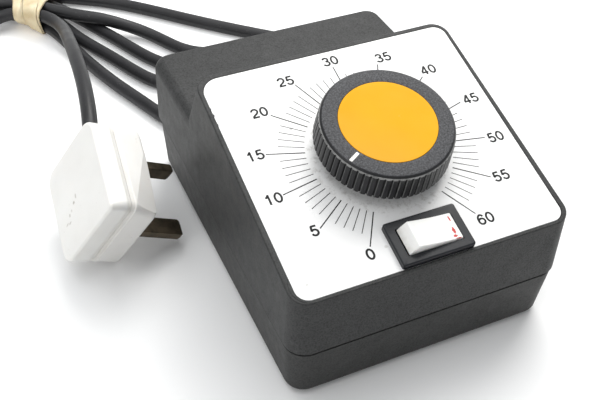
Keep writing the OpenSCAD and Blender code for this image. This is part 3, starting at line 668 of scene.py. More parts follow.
def make_plate():
    def R(d, z):
        return flat(rrect4(-53.6 + d, 53.6 - d, -49.6 + d, 51.1 - d, (5 - d, 5 - d, 7.4 - d, 5 - d)), z)
    rr = [R(0.1, -1.2), R(0, -1.1), R(0, -0.14), R(0.05, -0.04), R(0.14, 0.0)]
    o = add("dial_face", *loft(rr), T=TP)
    boolean(o, cyl("h", 5.25, -5, 5, 48, TP))
    boolean(o, box("s", -13.8, 13.8, -48.0, -33.2, -5, 5, TP))
    # chips in the left edge
    for x, y, r in ((-54.0, 37.2, 0.75), (-53.9, 34.0, 0.8), (-53.95, 29.4, 0.7), (-53.95, 31.6, 0.45), (53.9, -12.0, 0.5)):
        boolean(o, cyl("n", r, -3, 3, 9, TP, x, y))
    o.data.materials.clear()
    o.data.materials.append(plate_material())
    tidy(o, 30, dissolve=0.1)
    return place(o, "housing", "plate", "dial_plate")


def arc(cx, cy, rx, ry, a0, a1, n=14):
    return [(cx + rx * math.cos(math.radians(a0 + (a1 - a0) * k / n)), cy + ry * math.sin(math.radians(a0 + (a1 - a0) * k / n))) for k in range(n + 1)]


# strokes on a unit-high cell, stroke width 0.125
GLYPH = {
    "0": [arc(0.35, 0.5, 0.275, 0.4375, 0, 360, 30)],
    "1": [[(0.37, 0.0), (0.37, 1.0)], [(0.10, 0.735), (0.22, 0.755), (0.305, 0.83), (0.335, 0.96)]],
    "2": [arc(0.35, 0.67, 0.27, 0.2675, 172, -18, 16) + [(0.50, 0.44), (0.33, 0.33), (0.17, 0.20), (0.10, 0.0625)], [(0.04, 0.0625), (0.65, 0.0625)]],
    "3": [arc(0.34, 0.735, 0.235, 0.2025, 170, -70, 14) + [(0.40, 0.53), (0.30, 0.53)], [(0.36, 0.53)] + arc(0.34, 0.2975, 0.275, 0.235, 78, -170, 18)],
    "4": [[(0.49, 0.0), (0.49, 1.0)], [(0.47, 0.95), (0.07, 0.31)], [(0.03, 0.27), (0.68, 0.27)]],
    "5": [[(0.16, 0.9375), (0.60, 0.9375)], [(0.185, 0.97), (0.115, 0.48)], [(0.115, 0.47)] + arc(0.34, 0.335, 0.275, 0.2725, 132, -165, 22)],
    "6": [[(0.595, 0.75)] + arc(0.36, 0.68, 0.24, 0.2575, 25, 100, 6) + [(0.17, 0.80), (0.095, 0.62), (0.08, 0.42)] + arc(0.35, 0.34, 0.27, 0.2775, 165, 360, 16) + arc(0.35, 0.34, 0.27, 0.2475, 0, 165, 14)],
}


def ribbon(V, F, pts, w, z0=-0.02, z1=0.03):
    """A flat stroke with thickness, along pts."""
    P = np.array(pts, float)
    closed = np.linalg.norm(P[0] - P[-1]) < 1e-6
    if closed:
        P = P[:-1]
    n = len(P)
    if closed:
        d = np.roll(P, -1, 0) - np.roll(P, 1, 0)
    else:
        d = np.gradient(P, axis=0)
    d /= np.linalg.norm(d, axis=1)[:, None]
    N = np.c_[-d[:, 1], d[:, 0]] * (w / 2)
    b = len(V)
    for p, q in zip(P, N):
        V += [(p[0] + q[0], p[1] + q[1], z0), (p[0] - q[0], p[1] - q[1], z0), (p[0] - q[0], p[1] - q[1], z1), (p[0] + q[0], p[1] + q[1], z1)]
    for i in range(n if closed else n - 1):
        j = (i + 1) % n
        for k in range(4):
            l = (k + 1) % 4
            F.append((b + 4 * i + k, b + 4 * i + l, b + 4 * j + l, b + 4 * j + k))
    if not closed:
        F.append((b, b + 3, b + 2, b + 1))
        F.append((b + 4 * n - 4, b + 4 * n - 3, b + 4 * n - 2, b + 4 * n - 1))


NUMERALS = {0: (-22.7, -40.0), 5: (-37.5, -24.9), 10: (-46.1, -7.9), 15: (-45.4, 11.8), 20: (-36.6, 30.2), 25: (-21.1, 41.6), 30: (0.2, 46.2),
            35: (21.9, 41.8), 40: (36.9, 30.4), 45: (46.5, 11.7), 50: (46.7, -8.4), 55: (39.4, -25.3), 60: (24.1, -40.2)}


def make_print():
    V, F, fm = [], [], []
    for t in range(61):
        a = math.radians(-120 - 5 * t)
        major = t % 5 == 0
        r0, r1, w = 28.3, (43.0 if major else 38.3), (0.44 if major else 0.30)
        c, s = math.cos(a), math.sin(a)
        n0 = len(F)
        ribbon(V, F, [(r0 * c, r0 * s), (0.5 * (r0 + r1) * c, 0.5 * (r0 + r1) * s), (r1 * c, r1 * s)], w)
        fm += [0 if major else 1] * (len(F) - n0)
    H = 4.4
    for val, (cx, cy) in NUMERALS.items():
        txt = str(val)
        adv = 0.80 * H
        x0 = cx - (len(txt) - 1) * adv / 2 - 0.35 * H
        for k, ch in enumerate(txt):
            for st in GLYPH[ch]:
                n0 = len(F)
                ribbon(V, F, [(x0 + k * adv + x * H, cy - H / 2 + y * H) for x, y in st], 0.185 * H)
                fm += [0] * (len(F) - n0)
    o = add("dial_print", V, F, T=TP, mats=[ink_material(), fine_ink_material()], smooth=False, fmat=fm)
    fix_normals(o)
    return place(o, "housing", "plate")


make_plate()
make_print()


# ------------------------------------------------------------------ knob
def knob_material():
    M = Mat("knob_phenolic")
    x, y, z = M.xyz()
    n1 = M.noise(60, 3, 0.6)
    fine = M.noise(1500, 2, 0.75)
    c = M.mix(M.range(n1, 0.3, 0.7), (0.0155, 0.0157, 0.0168), (0.0220, 0.0220, 0.0236))
    r = M.math("SQRT", M.math("ADD", M.math("MULTIPLY", x, x), M.math("MULTIPLY", y, y)))
    # the flat rim on top is matt and grainy, the rest smoother; the rim's colour is also painted lighter, a painted
    # sheen for the light from above
    flat_top = M.math("MULTIPLY", M.range(z, 0.01725, 0.01735), M.range(r, 0.0246, 0.0243))
    c = M.mix(M.math("MULTIPLY", flat_top, M.range(fine, 0.36, 0.68, 0.05, 1.0)), c, (0.085, 0.087, 0.095))
    # painted highlights: a thin light ring under the bevel, and a light stripe on the leading edge of each rib, broken
    # into patches
    rim_highlight = M.math("MULTIPLY", M.range(r, 0.02490, 0.02496), M.math("MULTIPLY", M.range(z, 0.01590, 0.01604), M.range(z, 0.01672, 0.01664)))
    ang = M.math("ARCTAN2", y, x)
    fr = M.math("FRACT", M.math("ADD", M.math("MULTIPLY", ang, 63 / TAU), 63 * (1 + 111.4 / 360.0)))
    rib = M.math("MULTIPLY", M.math("MULTIPLY", M.range(fr, 0.15, 0.09), M.range(fr, -0.01, 0.02)), M.math("MULTIPLY", M.range(z, 0.0160, 0.0156), M.range(r, 0.0240, 0.0245)))
    # noise that breaks the painted highlights into patches
    patchiness = M.range(M.noise(500, 4, 0.7), 0.30, 0.62, 0.25, 1.0)
    c = M.mix(M.math("MULTIPLY", M.math("MULTIPLY", rim_highlight, patchiness), 0.95), c, (0.30, 0.30, 0.295))
    c = M.mix(M.math("MULTIPLY", M.math("MULTIPLY", rib, patchiness), 0.9), c, (0.19, 0.192, 0.188))
    e = M.math("MULTIPLY", M.edge(0.3, 0.03, 0.3), M.range(M.noise(240, 4, 0.7), 0.4, 0.65))
    c = M.mix(M.math("MULTIPLY", e, 0.3), c, (0.12, 0.12, 0.12))
    M.set("Base Color", c)
    M.set("Roughness", M.range(flat_top, 0.0, 1.0, 0.36, 0.5))
    M.p.inputs["Specular IOR Level"].default_value = 0.22
    h = M.math("MULTIPLY", M.math("ADD", fine, M.math("MULTIPLY", M.voronoi(1700), 0.4)), M.range(flat_top, 0, 1, 0.25, 1.0))
    M.set("Normal", M.bump(h, 0.05, 0.6))
    return M.m


def make_knob():
    ribs = 63
    fr = [0, 0.05, 0.12, 0.45, 0.70, 0.78, 0.86, 0.95]
    dp = [0.40, 0.06, 0.0, 0.0, 0.05, 0.22, 0.72, 0.74]
    # outer wall rows: r, z, how much of the rib shows
    prof = [(22.6, 5.6, 0), (24.2, 5.3, 0.3), (25.3, 5.3, 0.7), (25.9, 5.6, 1), (26.05, 6.2, 1), (25.8, 11, 1), (25.5, 15.3, 1),
            (25.38, 15.9, 0.9), (25.3, 16.15, 0.35), (25.22, 16.35, 0.0), (25.10, 16.55, 0), (24.55, 17.08, 0), (24.3, 17.30, 0), (24.15, 17.39, 0), (23.9, 17.42, 0),
            (21.0, 17.42, 0), (18.75, 17.42, 0), (18.58, 17.36, 0), (18.52, 17.2, 0), (18.52, 16.6, 0), (10, 16.6, 0), (3.2, 16.6, 0), (3.2, 13.9, 0)]
    inner = [(3.03, 13.9, 0), (3.03, 5.7, 0), (3.2, 5.6, 0), (5.9, 5.6, 0), (6.1, 5.75, 0), (6.5, 6.6, 0), (6.8, 14.4, 0), (7.2, 14.6, 0), (21.8, 14.6, 0), (22.2, 14.3, 0), (22.6, 5.9, 0)]
    # close the top of the bore
    prof = [p for p in prof if p[0] > 3.25]
    cols = []
    off = math.radians(-111.4)
    for k in range(ribs):
        for f, d in zip(fr, dp):
            cols.append((off + TAU * (k + f) / ribs, d))
    n = len(cols)
    V, F = [], []
    m_ = len(prof)
    for a, d in cols:
        for r, z, s in prof:
            rr = r - d * s
            V.append((rr * math.cos(a), rr * math.sin(a), z))
    for i in range(n):
        j = (i + 1) % n
        for k in range(m_ - 1):
            F.append((i * m_ + k, j * m_ + k, j * m_ + k + 1, i * m_ + k + 1))
    cap = len(V)
    V.append((0, 0, 16.6))
    for i in range(n):
        F.append((i * m_ + m_ - 1, ((i + 1) % n) * m_ + m_ - 1, cap))
    # underside: the same number of columns, joined to the first row
    b = len(V)
    inn = inner[::-1]
    q = len(inn)
    for a, d in cols:
        for r, z, s in inn:
            V.append((r * math.cos(a), r * math.sin(a), z))
    for i in range(n):
        j = (i + 1) % n
        F.append((i * m_, b + i * q, b + j * q, j * m_))
        for k in range(q - 1):
            F.append((b + i * q + k, b + i * q + k + 1, b + j * q + k + 1, b + j * q + k))
    e = len(V)
    V.append((0, 0, 13.9))
    for i in range(n):
        j = (i + 1) % n
        F.append((b + i * q + q - 1, e, b + j * q + q - 1))
    o = add("dial_knob_body", V, F, T=TP)
    fix_normals(o)
    P = TP @ Matrix.Rotation(math.radians(-150), 4, "Z")
    boolean(o, box("g", 19.05, 23.95, -0.72, 0.72, 16.9, 19, P))
    boolean(o, cyl("gs", 1.5, 2, 8, 24, TP @ Matrix.Translation((0, 0, 9)) @ Matrix.Rotation(math.radians(-60), 4, "Z") @ Matrix.Rotation(math.radians(90), 4, "Y")))
    o.data.materials.clear()
    o.data.materials.append(knob_material())
    bm = bmesh.new()
    bm.from_mesh(o.data)
    for f in bm.faces:
        f.smooth = True
    for ed in bm.edges:
        ed.smooth = not (len(ed.link_faces) == 2 and ed.calc_face_angle(0) > math.radians(33))
    bm.to_mesh(o.data)
    bm.free()
    w = o.modifiers.new("wn", "WEIGHTED_NORMAL")
    w.keep_sharp = True
    return place(o, "dial_knob", "knob", "knob")


def disc_material():
    M = Mat("disc_yellow")
    x, y, z = M.xyz()
    n1 = M.noise(30, 3, 0.55)
    c = M.mix(M.range(n1, 0.35, 0.65), (0.74, 0.350, 0.005), (0.79, 0.385, 0.007))
    # painted reflection: the yellow turns paler towards the lower left
    c = M.mix(M.math("MULTIPLY", M.range(M.math("ADD", x, y), 0.0, -0.026), 0.55), c, (0.76, 0.36, 0.045))
    sc = M.math("MULTIPLY", M.range(M.noise(500, 5, 0.75), 0.66, 0.74), M.range(M.noise(60, 2), 0.5, 0.62))
    c = M.mix(M.math("MULTIPLY", sc, 0.3), c, (0.86, 0.60, 0.28))
    M.p.inputs["Specular IOR Level"].default_value = 0.06
    M.set("Base Color", c)
    M.set("Roughness", M.range(M.noise(150, 4, 0.65), 0.3, 0.7, 0.28, 0.42))
    M.set("Normal", M.bump(M.noise(900, 3, 0.6), 0.012, 0.4))
    return M.m


def make_disc():
    prof = [(0.001, 16.62), (18.2, 16.62), (18.4, 16.68), (18.42, 17.38), (18.38, 17.45), (18.25, 17.49), (17.0, 17.5), (9.0, 17.5), (0.001, 17.5)]
    V, F = lathe(prof, 144, closed=True)
    o = add("knob_disc_face", V, F, T=TP, mats=[disc_material()])
    bm = bmesh.new()
    bm.from_mesh(o.data)
    bmesh.ops.remove_doubles(bm, verts=bm.verts, dist=0.004 * MM)
    bmesh.ops.recalc_face_normals(bm, faces=bm.faces)
    bm.to_mesh(o.data)
    bm.free()
    tidy(o, 40, dissolve=0, weld=0.004)
    return place(o, "dial_knob", "disc", "knob_disc")


def make_pointer():
    P = TP @ Matrix.Rotation(math.radians(-150), 4, "Z")
    rings = [flat([(x + 21.5, y) for x, y in rrect(-2.35, 2.35, -0.64, 0.64, 0.22, 5)], 16.92),
             flat([(x + 21.5, y) for x, y in rrect(-2.35, 2.35, -0.64, 0.64, 0.22, 5)], 17.46),
             flat([(x + 21.5, y) for x, y in rrect(-2.28, 2.28, -0.57, 0.57, 0.18, 5)], 17.52)]
    o = add("pointer_bar", *loft(rings), T=P, mats=[plain("pointer_white", (0.82, 0.81, 0.78), 0.4, grain=1600, bump=0.02)])
    tidy(o, 40, dissolve=0)
    return place(o, "dial_knob", "pointer", "knob_pointer")


make_knob()
make_disc()
make_pointer()


# ------------------------------------------------------------------ rocker switch
def bezel_material():
    M = Mat("switch_black_plastic")
    n1 = M.noise(120, 3, 0.6)
    fine = M.noise(2200, 2, 0.65)
    c = M.mix(M.range(n1, 0.3, 0.7), (0.0095, 0.0105, 0.0130), (0.015, 0.0165, 0.0200))
    e = M.math("MULTIPLY", M.edge(0.25, 0.03, 0.3), M.range(M.noise(400, 3, 0.7), 0.3, 0.6))
    c = M.mix(M.math("MULTIPLY", e, 0.5), c, (0.22, 0.23, 0.24))
    M.set("Base Color", c)
    M.set("Roughness", M.range(n1, 0.3, 0.7, 0.30, 0.42))
    M.p.inputs["Specular IOR Level"].default_value = 0.3
    M.set("Normal", M.bump(fine, 0.015, 0.5))
    return M.m


BLACK = bezel_material()


def make_bezel():
    def R(dx, r, z):
        return flat(rrect(-14.65 + dx, 14.4 - dx, -9.0 + dx, 9.15 - dx, r, 6), z)
    rings = [R(0.0, 1.0, 0.0), R(0.0, 1.0, 2.0), R(0.05, 0.95, 2.22), R(0.2, 0.85, 2.42), R(0.42, 0.7, 2.53), R(0.7, 0.55, 2.57), R(2.4, 0.4, 2.5)]
    o = add("switch_frame", *loft(rings), T=TS)
    boolean(o, box("b", -13.6, 13.6, -7.2, 7.2, -16, 0.1, TS), "UNION")
    for i in (-1, 1):
        V = [(i * a, y, z) for y in (-3, 3) for a, z in ((13.4, -9.5), (14.4, -5.4), (14.4, -4.8), (13.4, -4.2))]
        wdg = add("wd", V, [(0, 1, 2, 3), (7, 6, 5, 4), (0, 4, 5, 1), (1, 5, 6, 2), (2, 6, 7, 3), (3, 7, 4, 0)], T=TS)
        fix_normals(wdg)
        boolean(o, wdg, "UNION")
    # opening with a soft lip
    n = 6
    cut = loft([flat(rrect(-12.0, 12.0, -5.8, 5.8, 0.5, n), 0.9), flat(rrect(-11.3, 11.3, -5.62, 5.62, 0.4, n), 1.95), flat(rrect(-11.3, 11.3, -5.62, 5.62, 0.4, n), 2.35), flat(rrect(-11.45, 11.45, -5.78, 5.78, 0.5, n), 2.6), flat(rrect(-11.45, 11.45, -5.78, 5.78, 0.5, n), 4)])
    boolean(o, add("c", *cut, T=TS))
    boolean(o, box("c2", -12.9, 12.9, -5.8, 5.8, -14.6, 1.0, TS))
    boolean(o, cyl("px", 1.3, -8, 8, 32, TS @ Matrix.Translation((0, 0, -3.7)) @ Matrix.Rotation(math.radians(90), 4, "X")))
    for x in (-9, 0, 9):
        boolean(o, box("t", x - 0.5, x + 0.5, -2.5, 2.5, -18, -14, TS))
    o.data.materials.clear()
    o.data.materials.append(BLACK)
    tidy(o, 30, dissolve=0.1)
    return place(o, "housing", "switch_black", "switch_body")


def rocker_material():
    M = Mat("rocker_white")
    x, y, z = M.xyz()
    n1 = M.noise(90, 3, 0.6)
    c = M.mix(M.range(n1, 0.3, 0.7), (0.80, 0.80, 0.78), (0.87, 0.865, 0.845))
    # browner and darker towards the bottom of the rocker
    darker_towards_bottom = M.math("MULTIPLY", M.range(z, 0.0075, 0.0045), M.range(M.noise(260, 3, 0.7), 0.4, 0.7))
    c = M.mix(M.math("MULTIPLY", darker_towards_bottom, 0.4), c, (0.42, 0.37, 0.30))

    def spot(cx, cy, rx, ry, th=0.55):
        dx = M.math("DIVIDE", M.math("SUBTRACT", x, cx * MM), rx * MM)
        dy = M.math("DIVIDE", M.math("SUBTRACT", y, cy * MM), ry * MM)
        d = M.math("SQRT", M.math("ADD", M.math("MULTIPLY", dx, dx), M.math("MULTIPLY", dy, dy)))
        d = M.math("ADD", d, M.math("MULTIPLY", M.math("SUBTRACT", M.noise(1500, 3, 0.7), 0.5), 1.6))
        return M.range(d, 1.0, 0.75)
    red = M.math("MAXIMUM", M.math("MAXIMUM", spot(*RED[0]), spot(*RED[1])), M.math("MAXIMUM", spot(*RED[2]), spot(*RED[3])))
    c = M.mix(red, c, (0.50, 0.015, 0.010))
    M.set("Base Color", c)
    M.set("Roughness", M.range(n1, 0.3, 0.7, 0.30, 0.42))
    M.p.inputs["Subsurface Weight"].default_value = 0.06
    M.p.inputs["Subsurface Radius"].default_value = (0.001, 0.0008, 0.0006)
    M.p.inputs["Subsurface Scale"].default_value = 1.0
    M.set("Normal", M.bump(M.noise(1400, 3, 0.6), 0.012, 0.4))
    return M.m


RED = [(7.8, 3.0, 0.4, 1.2), (7.1, -1.9, 0.75, 1.55), (6.5, -4.15, 1.0, 0.55), (7.5, -5.2, 1.5, 0.2)]
T_ROCK = TS @ Matrix.Translation((0, 0, -3.7)) @ Matrix.Rotation(math.radians(10.5), 4, "Y")


def make_rocker():
    pts = [(-9.25, 8.68), (-7.2, 8.5), (-4.8, 8.34), (0, 8.2), (4.8, 8.34), (7.2, 8.5), (9.25, 8.68), (10.75, 6.1), (11.7, 3.9), (10.6, 2.7), (2.4, -1.8), (-2.4, -1.8), (-10.6, 2.7), (-11.7, 3.9), (-10.75, 6.1)]
    rings = []
    for y in (-5.4, 5.4):
        rings.append([(x, y, z) for x, z in pts])
    o = add("rocker_cap", *loft(rings), T=T_ROCK)
    fix_normals(o)
    bevel(o, 0.38, 3, 20)
    boolean(o, cyl("ax", 1.25, -6.6, 6.6, 32, T_ROCK @ Matrix.Rotation(math.radians(90), 4, "X")), "UNION")
    boolean(o, cyl("pl", 1.1, -6.9, -0.9, 24, T_ROCK), "UNION")
    o.data.materials.clear()
    o.data.materials.append(rocker_material())
    tidy(o, 32, dissolve=0.1)
    return place(o, "rocker_key", "rocker", "rocker")


make_bezel()
make_rocker()


# ------------------------------------------------------------------ plug
PITS = [(-3.4, 10.4, 1.0, 0.8, 0.8), (-0.9, 8.6, 0.7, 1.3, 0.6), (-8.6, 13.4, 0.8, 0.8, 0.65), (-9.6, 16.4, 1.2, 0.6, 0.6), (-12.2, 15.6, 1.5, 0.6, 0.5), (-6.4, 12.4, 0.6, 0.9, 0.4)]


def plug_material(name, a, b, dirt=0.35):
    M = Mat(name)
    n1 = M.noise(40, 3, 0.6)
    c = M.mix(M.range(n1, 0.3, 0.7), a, b)
    sc = M.math("MULTIPLY", M.range(M.noise(420, 5, 0.75), 0.63, 0.72), M.range(M.noise(55, 2), 0.48, 0.6))
    c = M.mix(M.math("MULTIPLY", sc, dirt), c, (0.33, 0.28, 0.22))
    scr = M.math("MULTIPLY", M.range(M.voronoi(110), 0.0, 0.05, 1, 0), M.range(M.noise(70, 2), 0.52, 0.6))
    c = M.mix(M.math("MULTIPLY", scr, 0.45), c, (0.40, 0.33, 0.25))
    x, y, z = M.xyz()
    # yellowed dirt along the joint, and pits with scuffs in the face
    seam = M.math("MULTIPLY", M.range(z, -0.0152, -0.0140), M.range(z, -0.0104, -0.0112))
    c = M.mix(M.math("MULTIPLY", seam, M.range(M.noise(300, 3, 0.7), 0.3, 0.7, 0.10, 0.35)), c, (0.60, 0.56, 0.49))

    def pit(cx, cy, rx, ry, f):
        dx = M.math("DIVIDE", M.math("SUBTRACT", x, cx * MM), rx * MM)
        dy = M.math("DIVIDE", M.math("SUBTRACT", y, cy * MM), ry * MM)
        d = M.math("SQRT", M.math("ADD", M.math("MULTIPLY", dx, dx), M.math("MULTIPLY", dy, dy)))
        d = M.math("ADD", d, M.math("MULTIPLY", M.math("SUBTRACT", M.noise(1000, 3, 0.7), 0.5), 1.5))
        return M.mix(M.math("MULTIPLY", M.math("MULTIPLY", M.range(d, 1.1, 0.6), M.range(z, -0.0215, -0.0220)), f), c, (0.40, 0.37, 0.33))
    for args in PITS:
        c = pit(*args)
    M.set("Base Color", c)
    M.set("Roughness", M.range(M.noise(150, 3, 0.6), 0.3, 0.7, 0.34, 0.46))
    M.p.inputs["Subsurface Weight"].default_value = 0.08
    M.p.inputs["Subsurface Radius"].default_value = (0.0015, 0.0012, 0.0009)
    M.p.inputs["Subsurface Scale"].default_value = 1.0
    M.set("Normal", M.bump(M.noise(1100, 3, 0.6), 0.012, 0.35))
    return M.m


PW, PV0, PV1, PD = 22.5, -16.2, 30.0, 23.4


PW, PV0, PV1, PD = 22.5, -16.2, 30.0, 23.4


def P_ring(d, rs, z, dv=0.0, n=12):
    return flat(rrect4(-PW + d, PW - d, PV0 + d, PV1 - d + dv, rs, n), z)


def half_space(A, B, C, T):
    """A big block on the far side of the plane A B C, to cut with."""
    A, B, C = Vector(A), Vector(B), Vector(C)
    x = (B - A).normalized()
    nz = x.cross(C - A).normalized()
    if nz.x * A.x < 0:
        nz = -nz
    y = nz.cross(x)
    m4 = Matrix((x, y, nz)).transposed().to_4x4()
    m4.translation = A
    return box("hs", -60, 60, -60, 60, 0, 30, T @ m4)


def make_plug():
    base_m = plug_material("plug_urea_base", (0.74, 0.725, 0.70), (0.80, 0.79, 0.765))
    cov_m = plug_material("plug_urea_cover", (0.77, 0.762, 0.735), (0.83, 0.825, 0.80))
    hole = lambda: cyl("h", 3.7, -18.2, -10.2, 32, TG @ Matrix.Translation((0, 0, -11.7)) @ Matrix.Rotation(math.radians(-90), 4, "X"))
    k9 = (8.8, 5.0, 8.8, 8.8)
    k4 = (8.2, 3.6, 8.2, 8.2)
    o = add("plug_base_part", *loft([P_ring(1.5, (7.6, 6.0, 7.6, 7.6), -0.05), P_ring(0.8, (8.2, 6.5, 8.2, 8.2), -0.2), P_ring(0.25, (8.7, 6.6, 8.7, 8.7), -0.7), P_ring(0.0, (8.9, 6.5, 8.9, 8.9), -1.5),
                                     P_ring(0.0, k9, -7.0), P_ring(0.0, k4, -10.9), P_ring(0.22, k4, -11.2), P_ring(0.34, k4, -12.8)][::-1]), T=TG)
    fix_normals(o)
    for i in (1, -1):
        boolean(o, half_space((i * 22.4, -1.0, -0.4), (i * 22.5, 27.6, -10.8), (i * 19.0, 28.0, 0.0), TG))
    bevel(o, 0.9, 3, 10.5)
    boolean(o, add("i", *loft([P_ring(2.9, (5, 3, 5, 6), -13.3), P_ring(4.6, (5, 4, 5, 6), -3.0)]), T=TG))
    for q in ((-15, -7.4, -2.4, 2.4), (7.4, 15, -2.4, 2.4), (-2.2, 2.2, 17.8, 26.6)):
        boolean(o, box("s", *q, -6, 1, TG))
    boolean(o, hole())
    boolean(o, cyl("sc", 1.7, -14, 2, 24, TG, 0, 8))
    boolean(o, cyl("sc", 2.9, -1.9, 1.1, 28, TG, 0, 8))
    o.data.materials.clear()
    o.data.materials.append(base_m)
    tidy(o, 30, dissolve=0.1)
    place(o, "housing", "plug", "plug_base")

    rings = [P_ring(0.30, k4, -13.0), P_ring(0.2, k4, -14.3), P_ring(0.0, k4, -14.7)]
    kf = (7.2, 2.3, 7.0, 6.2)
    rings.append(P_ring(0.25, kf, -21.1, 0.5))
    for t in np.linspace(0, 90, 7)[1:]:
        s_, c_ = math.sin(math.radians(t)), math.cos(math.radians(t))
        rings.append(P_ring(0.25 + 1.15 * (1 - c_), tuple(r - 0.7 * (1 - c_) for r in kf), -21.1 - 1.4 * s_, 0.5))
    rings.append(P_ring(6.0, (2, 1.2, 2, 2), -22.85, 0.5))
    rings.append(P_ring(14.0, (1, 0.8, 1, 1), -23.05, 0.5))
    o = add("plug_cover_part", *loft(rings), T=TG)
    fix_normals(o)
    boolean(o, add("i", *loft([P_ring(2.9, (5, 3, 5, 6), -12.5), P_ring(3.4, (4, 3, 4, 5), -PD + 2.9)]), T=TG))
    boolean(o, hole())
    o.data.materials.clear()
    o.data.materials.append(cov_m)
    tidy(o, 24, dissolve=0.05)
    place(o, "housing", "plug", "plug_cover")

    pin_m = Mat("pin_brass_tarnished")
    n1 = pin_m.noise(180, 4, 0.65)
    c = pin_m.mix(pin_m.range(n1, 0.35, 0.65), (0.060, 0.050, 0.036), (0.13, 0.105, 0.072))
    pin_m.set("Base Color", c)
    pin_m.p.inputs["Metallic"].default_value = 0.85
    pin_m.set("Roughness", pin_m.range(n1, 0.3, 0.7, 0.42, 0.6))
    pin_m.set("Normal", pin_m.bump(pin_m.noise(900, 3, 0.6), 0.02, 0.5))

    def pin(name, x0, x1, y0, y1, z1, nodes):
        cx, cy, hx, hy = (x0 + x1) / 2, (y0 + y1) / 2, (x1 - x0) / 2, (y1 - y0) / 2

        def R(d, z, r=0.3):
            return [(cx + x, cy + y, z) for x, y in rrect(-hx + d, hx - d, -hy + d, hy - d, r, 3)]
        return loft([R(0, -8), R(0, z1 - 1.5), R(0.18, z1 - 0.95), R(0.62, z1 - 0.15), R(0.75, z1)])
    V, F = [], []
    for x in (-11.1, 11.1):
        v, f = pin("p", x - 3.175, x + 3.175, -2, 2, 17.7, None)
        F += [tuple(i + len(V) for i in g) for g in f]
        V += v
    o = add("plug_pins_flat", V, F, T=TG, mats=[pin_m.m])
    tidy(o, 30, dissolve=0)
    place(o, "housing", "pins", "plug_flat_pins")
    v, f = pin("p", -2, 2, 18.2, 26.2, 22.7, None)
    o = add("plug_pin_earth", v, f, T=TG, mats=[pin_m.m])
    tidy(o, 30, dissolve=0)
    place(o, "housing", "pins", "plug_earth_pin")


make_plug()

# ------------------------------------------------------------------ parts that keep their construction solids
STEEL = plain("steel_zinc", (0.60, 0.60, 0.62), 0.32, 1.0, 0.1, 900, 0.02)
BRASS = plain("brass_contact", (0.72, 0.53, 0.24), 0.3, 1.0, 0.12, 900, 0.02)
COPPER = plain("copper_lacquered", (0.62, 0.26, 0.12), 0.33, 0.9, 0.12, 1200, 0.03)
RUBBER = plain("rubber_black", (0.022, 0.022, 0.023), 0.72, 0.0, 0.2, 1500, 0.04)
BOARD = plain("board_paper_resin", (0.36, 0.21, 0.075), 0.42, 0.0, 0.1, 700, 0.03, dirt=(0.20, 0.11, 0.04))
IRON = plain("core_laminations", (0.16, 0.16, 0.17), 0.45, 0.8, 0.2, 1300, 0.05)
RELAY = plain("relay_cover", (0.03, 0.09, 0.26), 0.25, 0.0, 0.08, 900, 0.01)
CAN = plain("can_sleeve", (0.035, 0.05, 0.17), 0.28, 0.0, 0.1, 900, 0.015)
FILM = plain("film_capacitor_dip", (0.55, 0.20, 0.03), 0.3, 0.0, 0.1, 500, 0.03)
RES = plain("resistor_body", (0.58, 0.42, 0.24), 0.42, 0.0, 0.12, 900, 0.02)
CHIP = plain("chip_epoxy", (0.025, 0.025, 0.027), 0.5, 0.0, 0.15, 1800, 0.03)
TRIM = plain("trimmer_orange", (0.66, 0.20, 0.03), 0.38, 0.0, 0.1, 900, 0.02)
GLASS = plain("fuse_body", (0.62, 0.66, 0.66), 0.15, 0.0, 0.08, 900, 0.005)
TERM = plain("terminal_nylon", (0.74, 0.72, 0.66), 0.42, 0.0, 0.08, 1200, 0.02)
POT = plain("pot_case", (0.42, 0.38, 0.30), 0.36, 0.9, 0.12, 900, 0.02)
WB = plain("wire_brown", (0.16, 0.06, 0.025), 0.4, 0.0, 0.1, 1200, 0.02)
WL = plain("wire_blue", (0.02, 0.07, 0.33), 0.4, 0.0, 0.1, 1200, 0.02)
WG = plain("wire_grey", (0.42, 0.42, 0.44), 0.4, 0.0, 0.1, 1200, 0.02)
KEEP = {
    "rubber_feet": (RUBBER, "rubber"), "case_screws": (STEEL, "steel"), "knob_grub_screw": (BRASS, "brass"), "pot_shaft": (STEEL, "shaft"),
    "pot_body": (POT, "pot"), "pot_terminals": (STEEL, "steel"), "pot_washer": (STEEL, "steel"), "pot_nut": (STEEL, "steel"),
    "switch_contact": (COPPER, "copper"), "switch_terminals": (BRASS, "brass"), "circuit_board": (BOARD, "board"), "board_screws": (STEEL, "steel"),
    "transformer_core": (IRON, "core"), "transformer_coil": (COPPER, "copper"), "relay": (RELAY, "relay"), "electrolytic_capacitors": (CAN, "can"),
    "film_capacitor": (FILM, "film"), "resistors": (RES, "resistor"), "diodes": (CHIP, "chip"), "transistors": (CHIP, "chip"), "timer_chip": (CHIP, "chip"),
    "trimmer": (TRIM, "trim"), "fuse": (GLASS, "glass"), "fuse_clips": (BRASS, "brass"), "terminal_block": (TERM, "terminal"),
    "terminal_screws": (STEEL, "steel"), "outlet_socket": (BLACK, "switch_black"), "outlet_contacts": (BRASS, "brass"), "outlet_screws": (STEEL, "steel"),
    "strain_relief": (RUBBER, "gland"), "inner_lead": (LEAD, "lead"), "cord_clamp": (TERM, "terminal"), "clamp_screws": (STEEL, "steel"),
    "wires_brown": (WB, "brown"), "wires_blue": (WL, "blue"), "wires_signal": (WG, "grey"), "plug_cover_screw": (STEEL, "steel"), "plug_fuse": (GLASS, "glass"),
}
BEVELS = {"outlet_socket": 0.3, "rubber_feet": 0.25, "case_screws": 0.15, "outlet_screws": 0.15, "circuit_board": 0.1, "transformer_core": 0.3,
          "terminal_block": 0.3, "cord_clamp": 0.3, "relay": 0.3, "plug_cover_screw": 0.12, "film_capacitor": 0.6, "pot_body": 0.25, "pot_nut": 0.2}
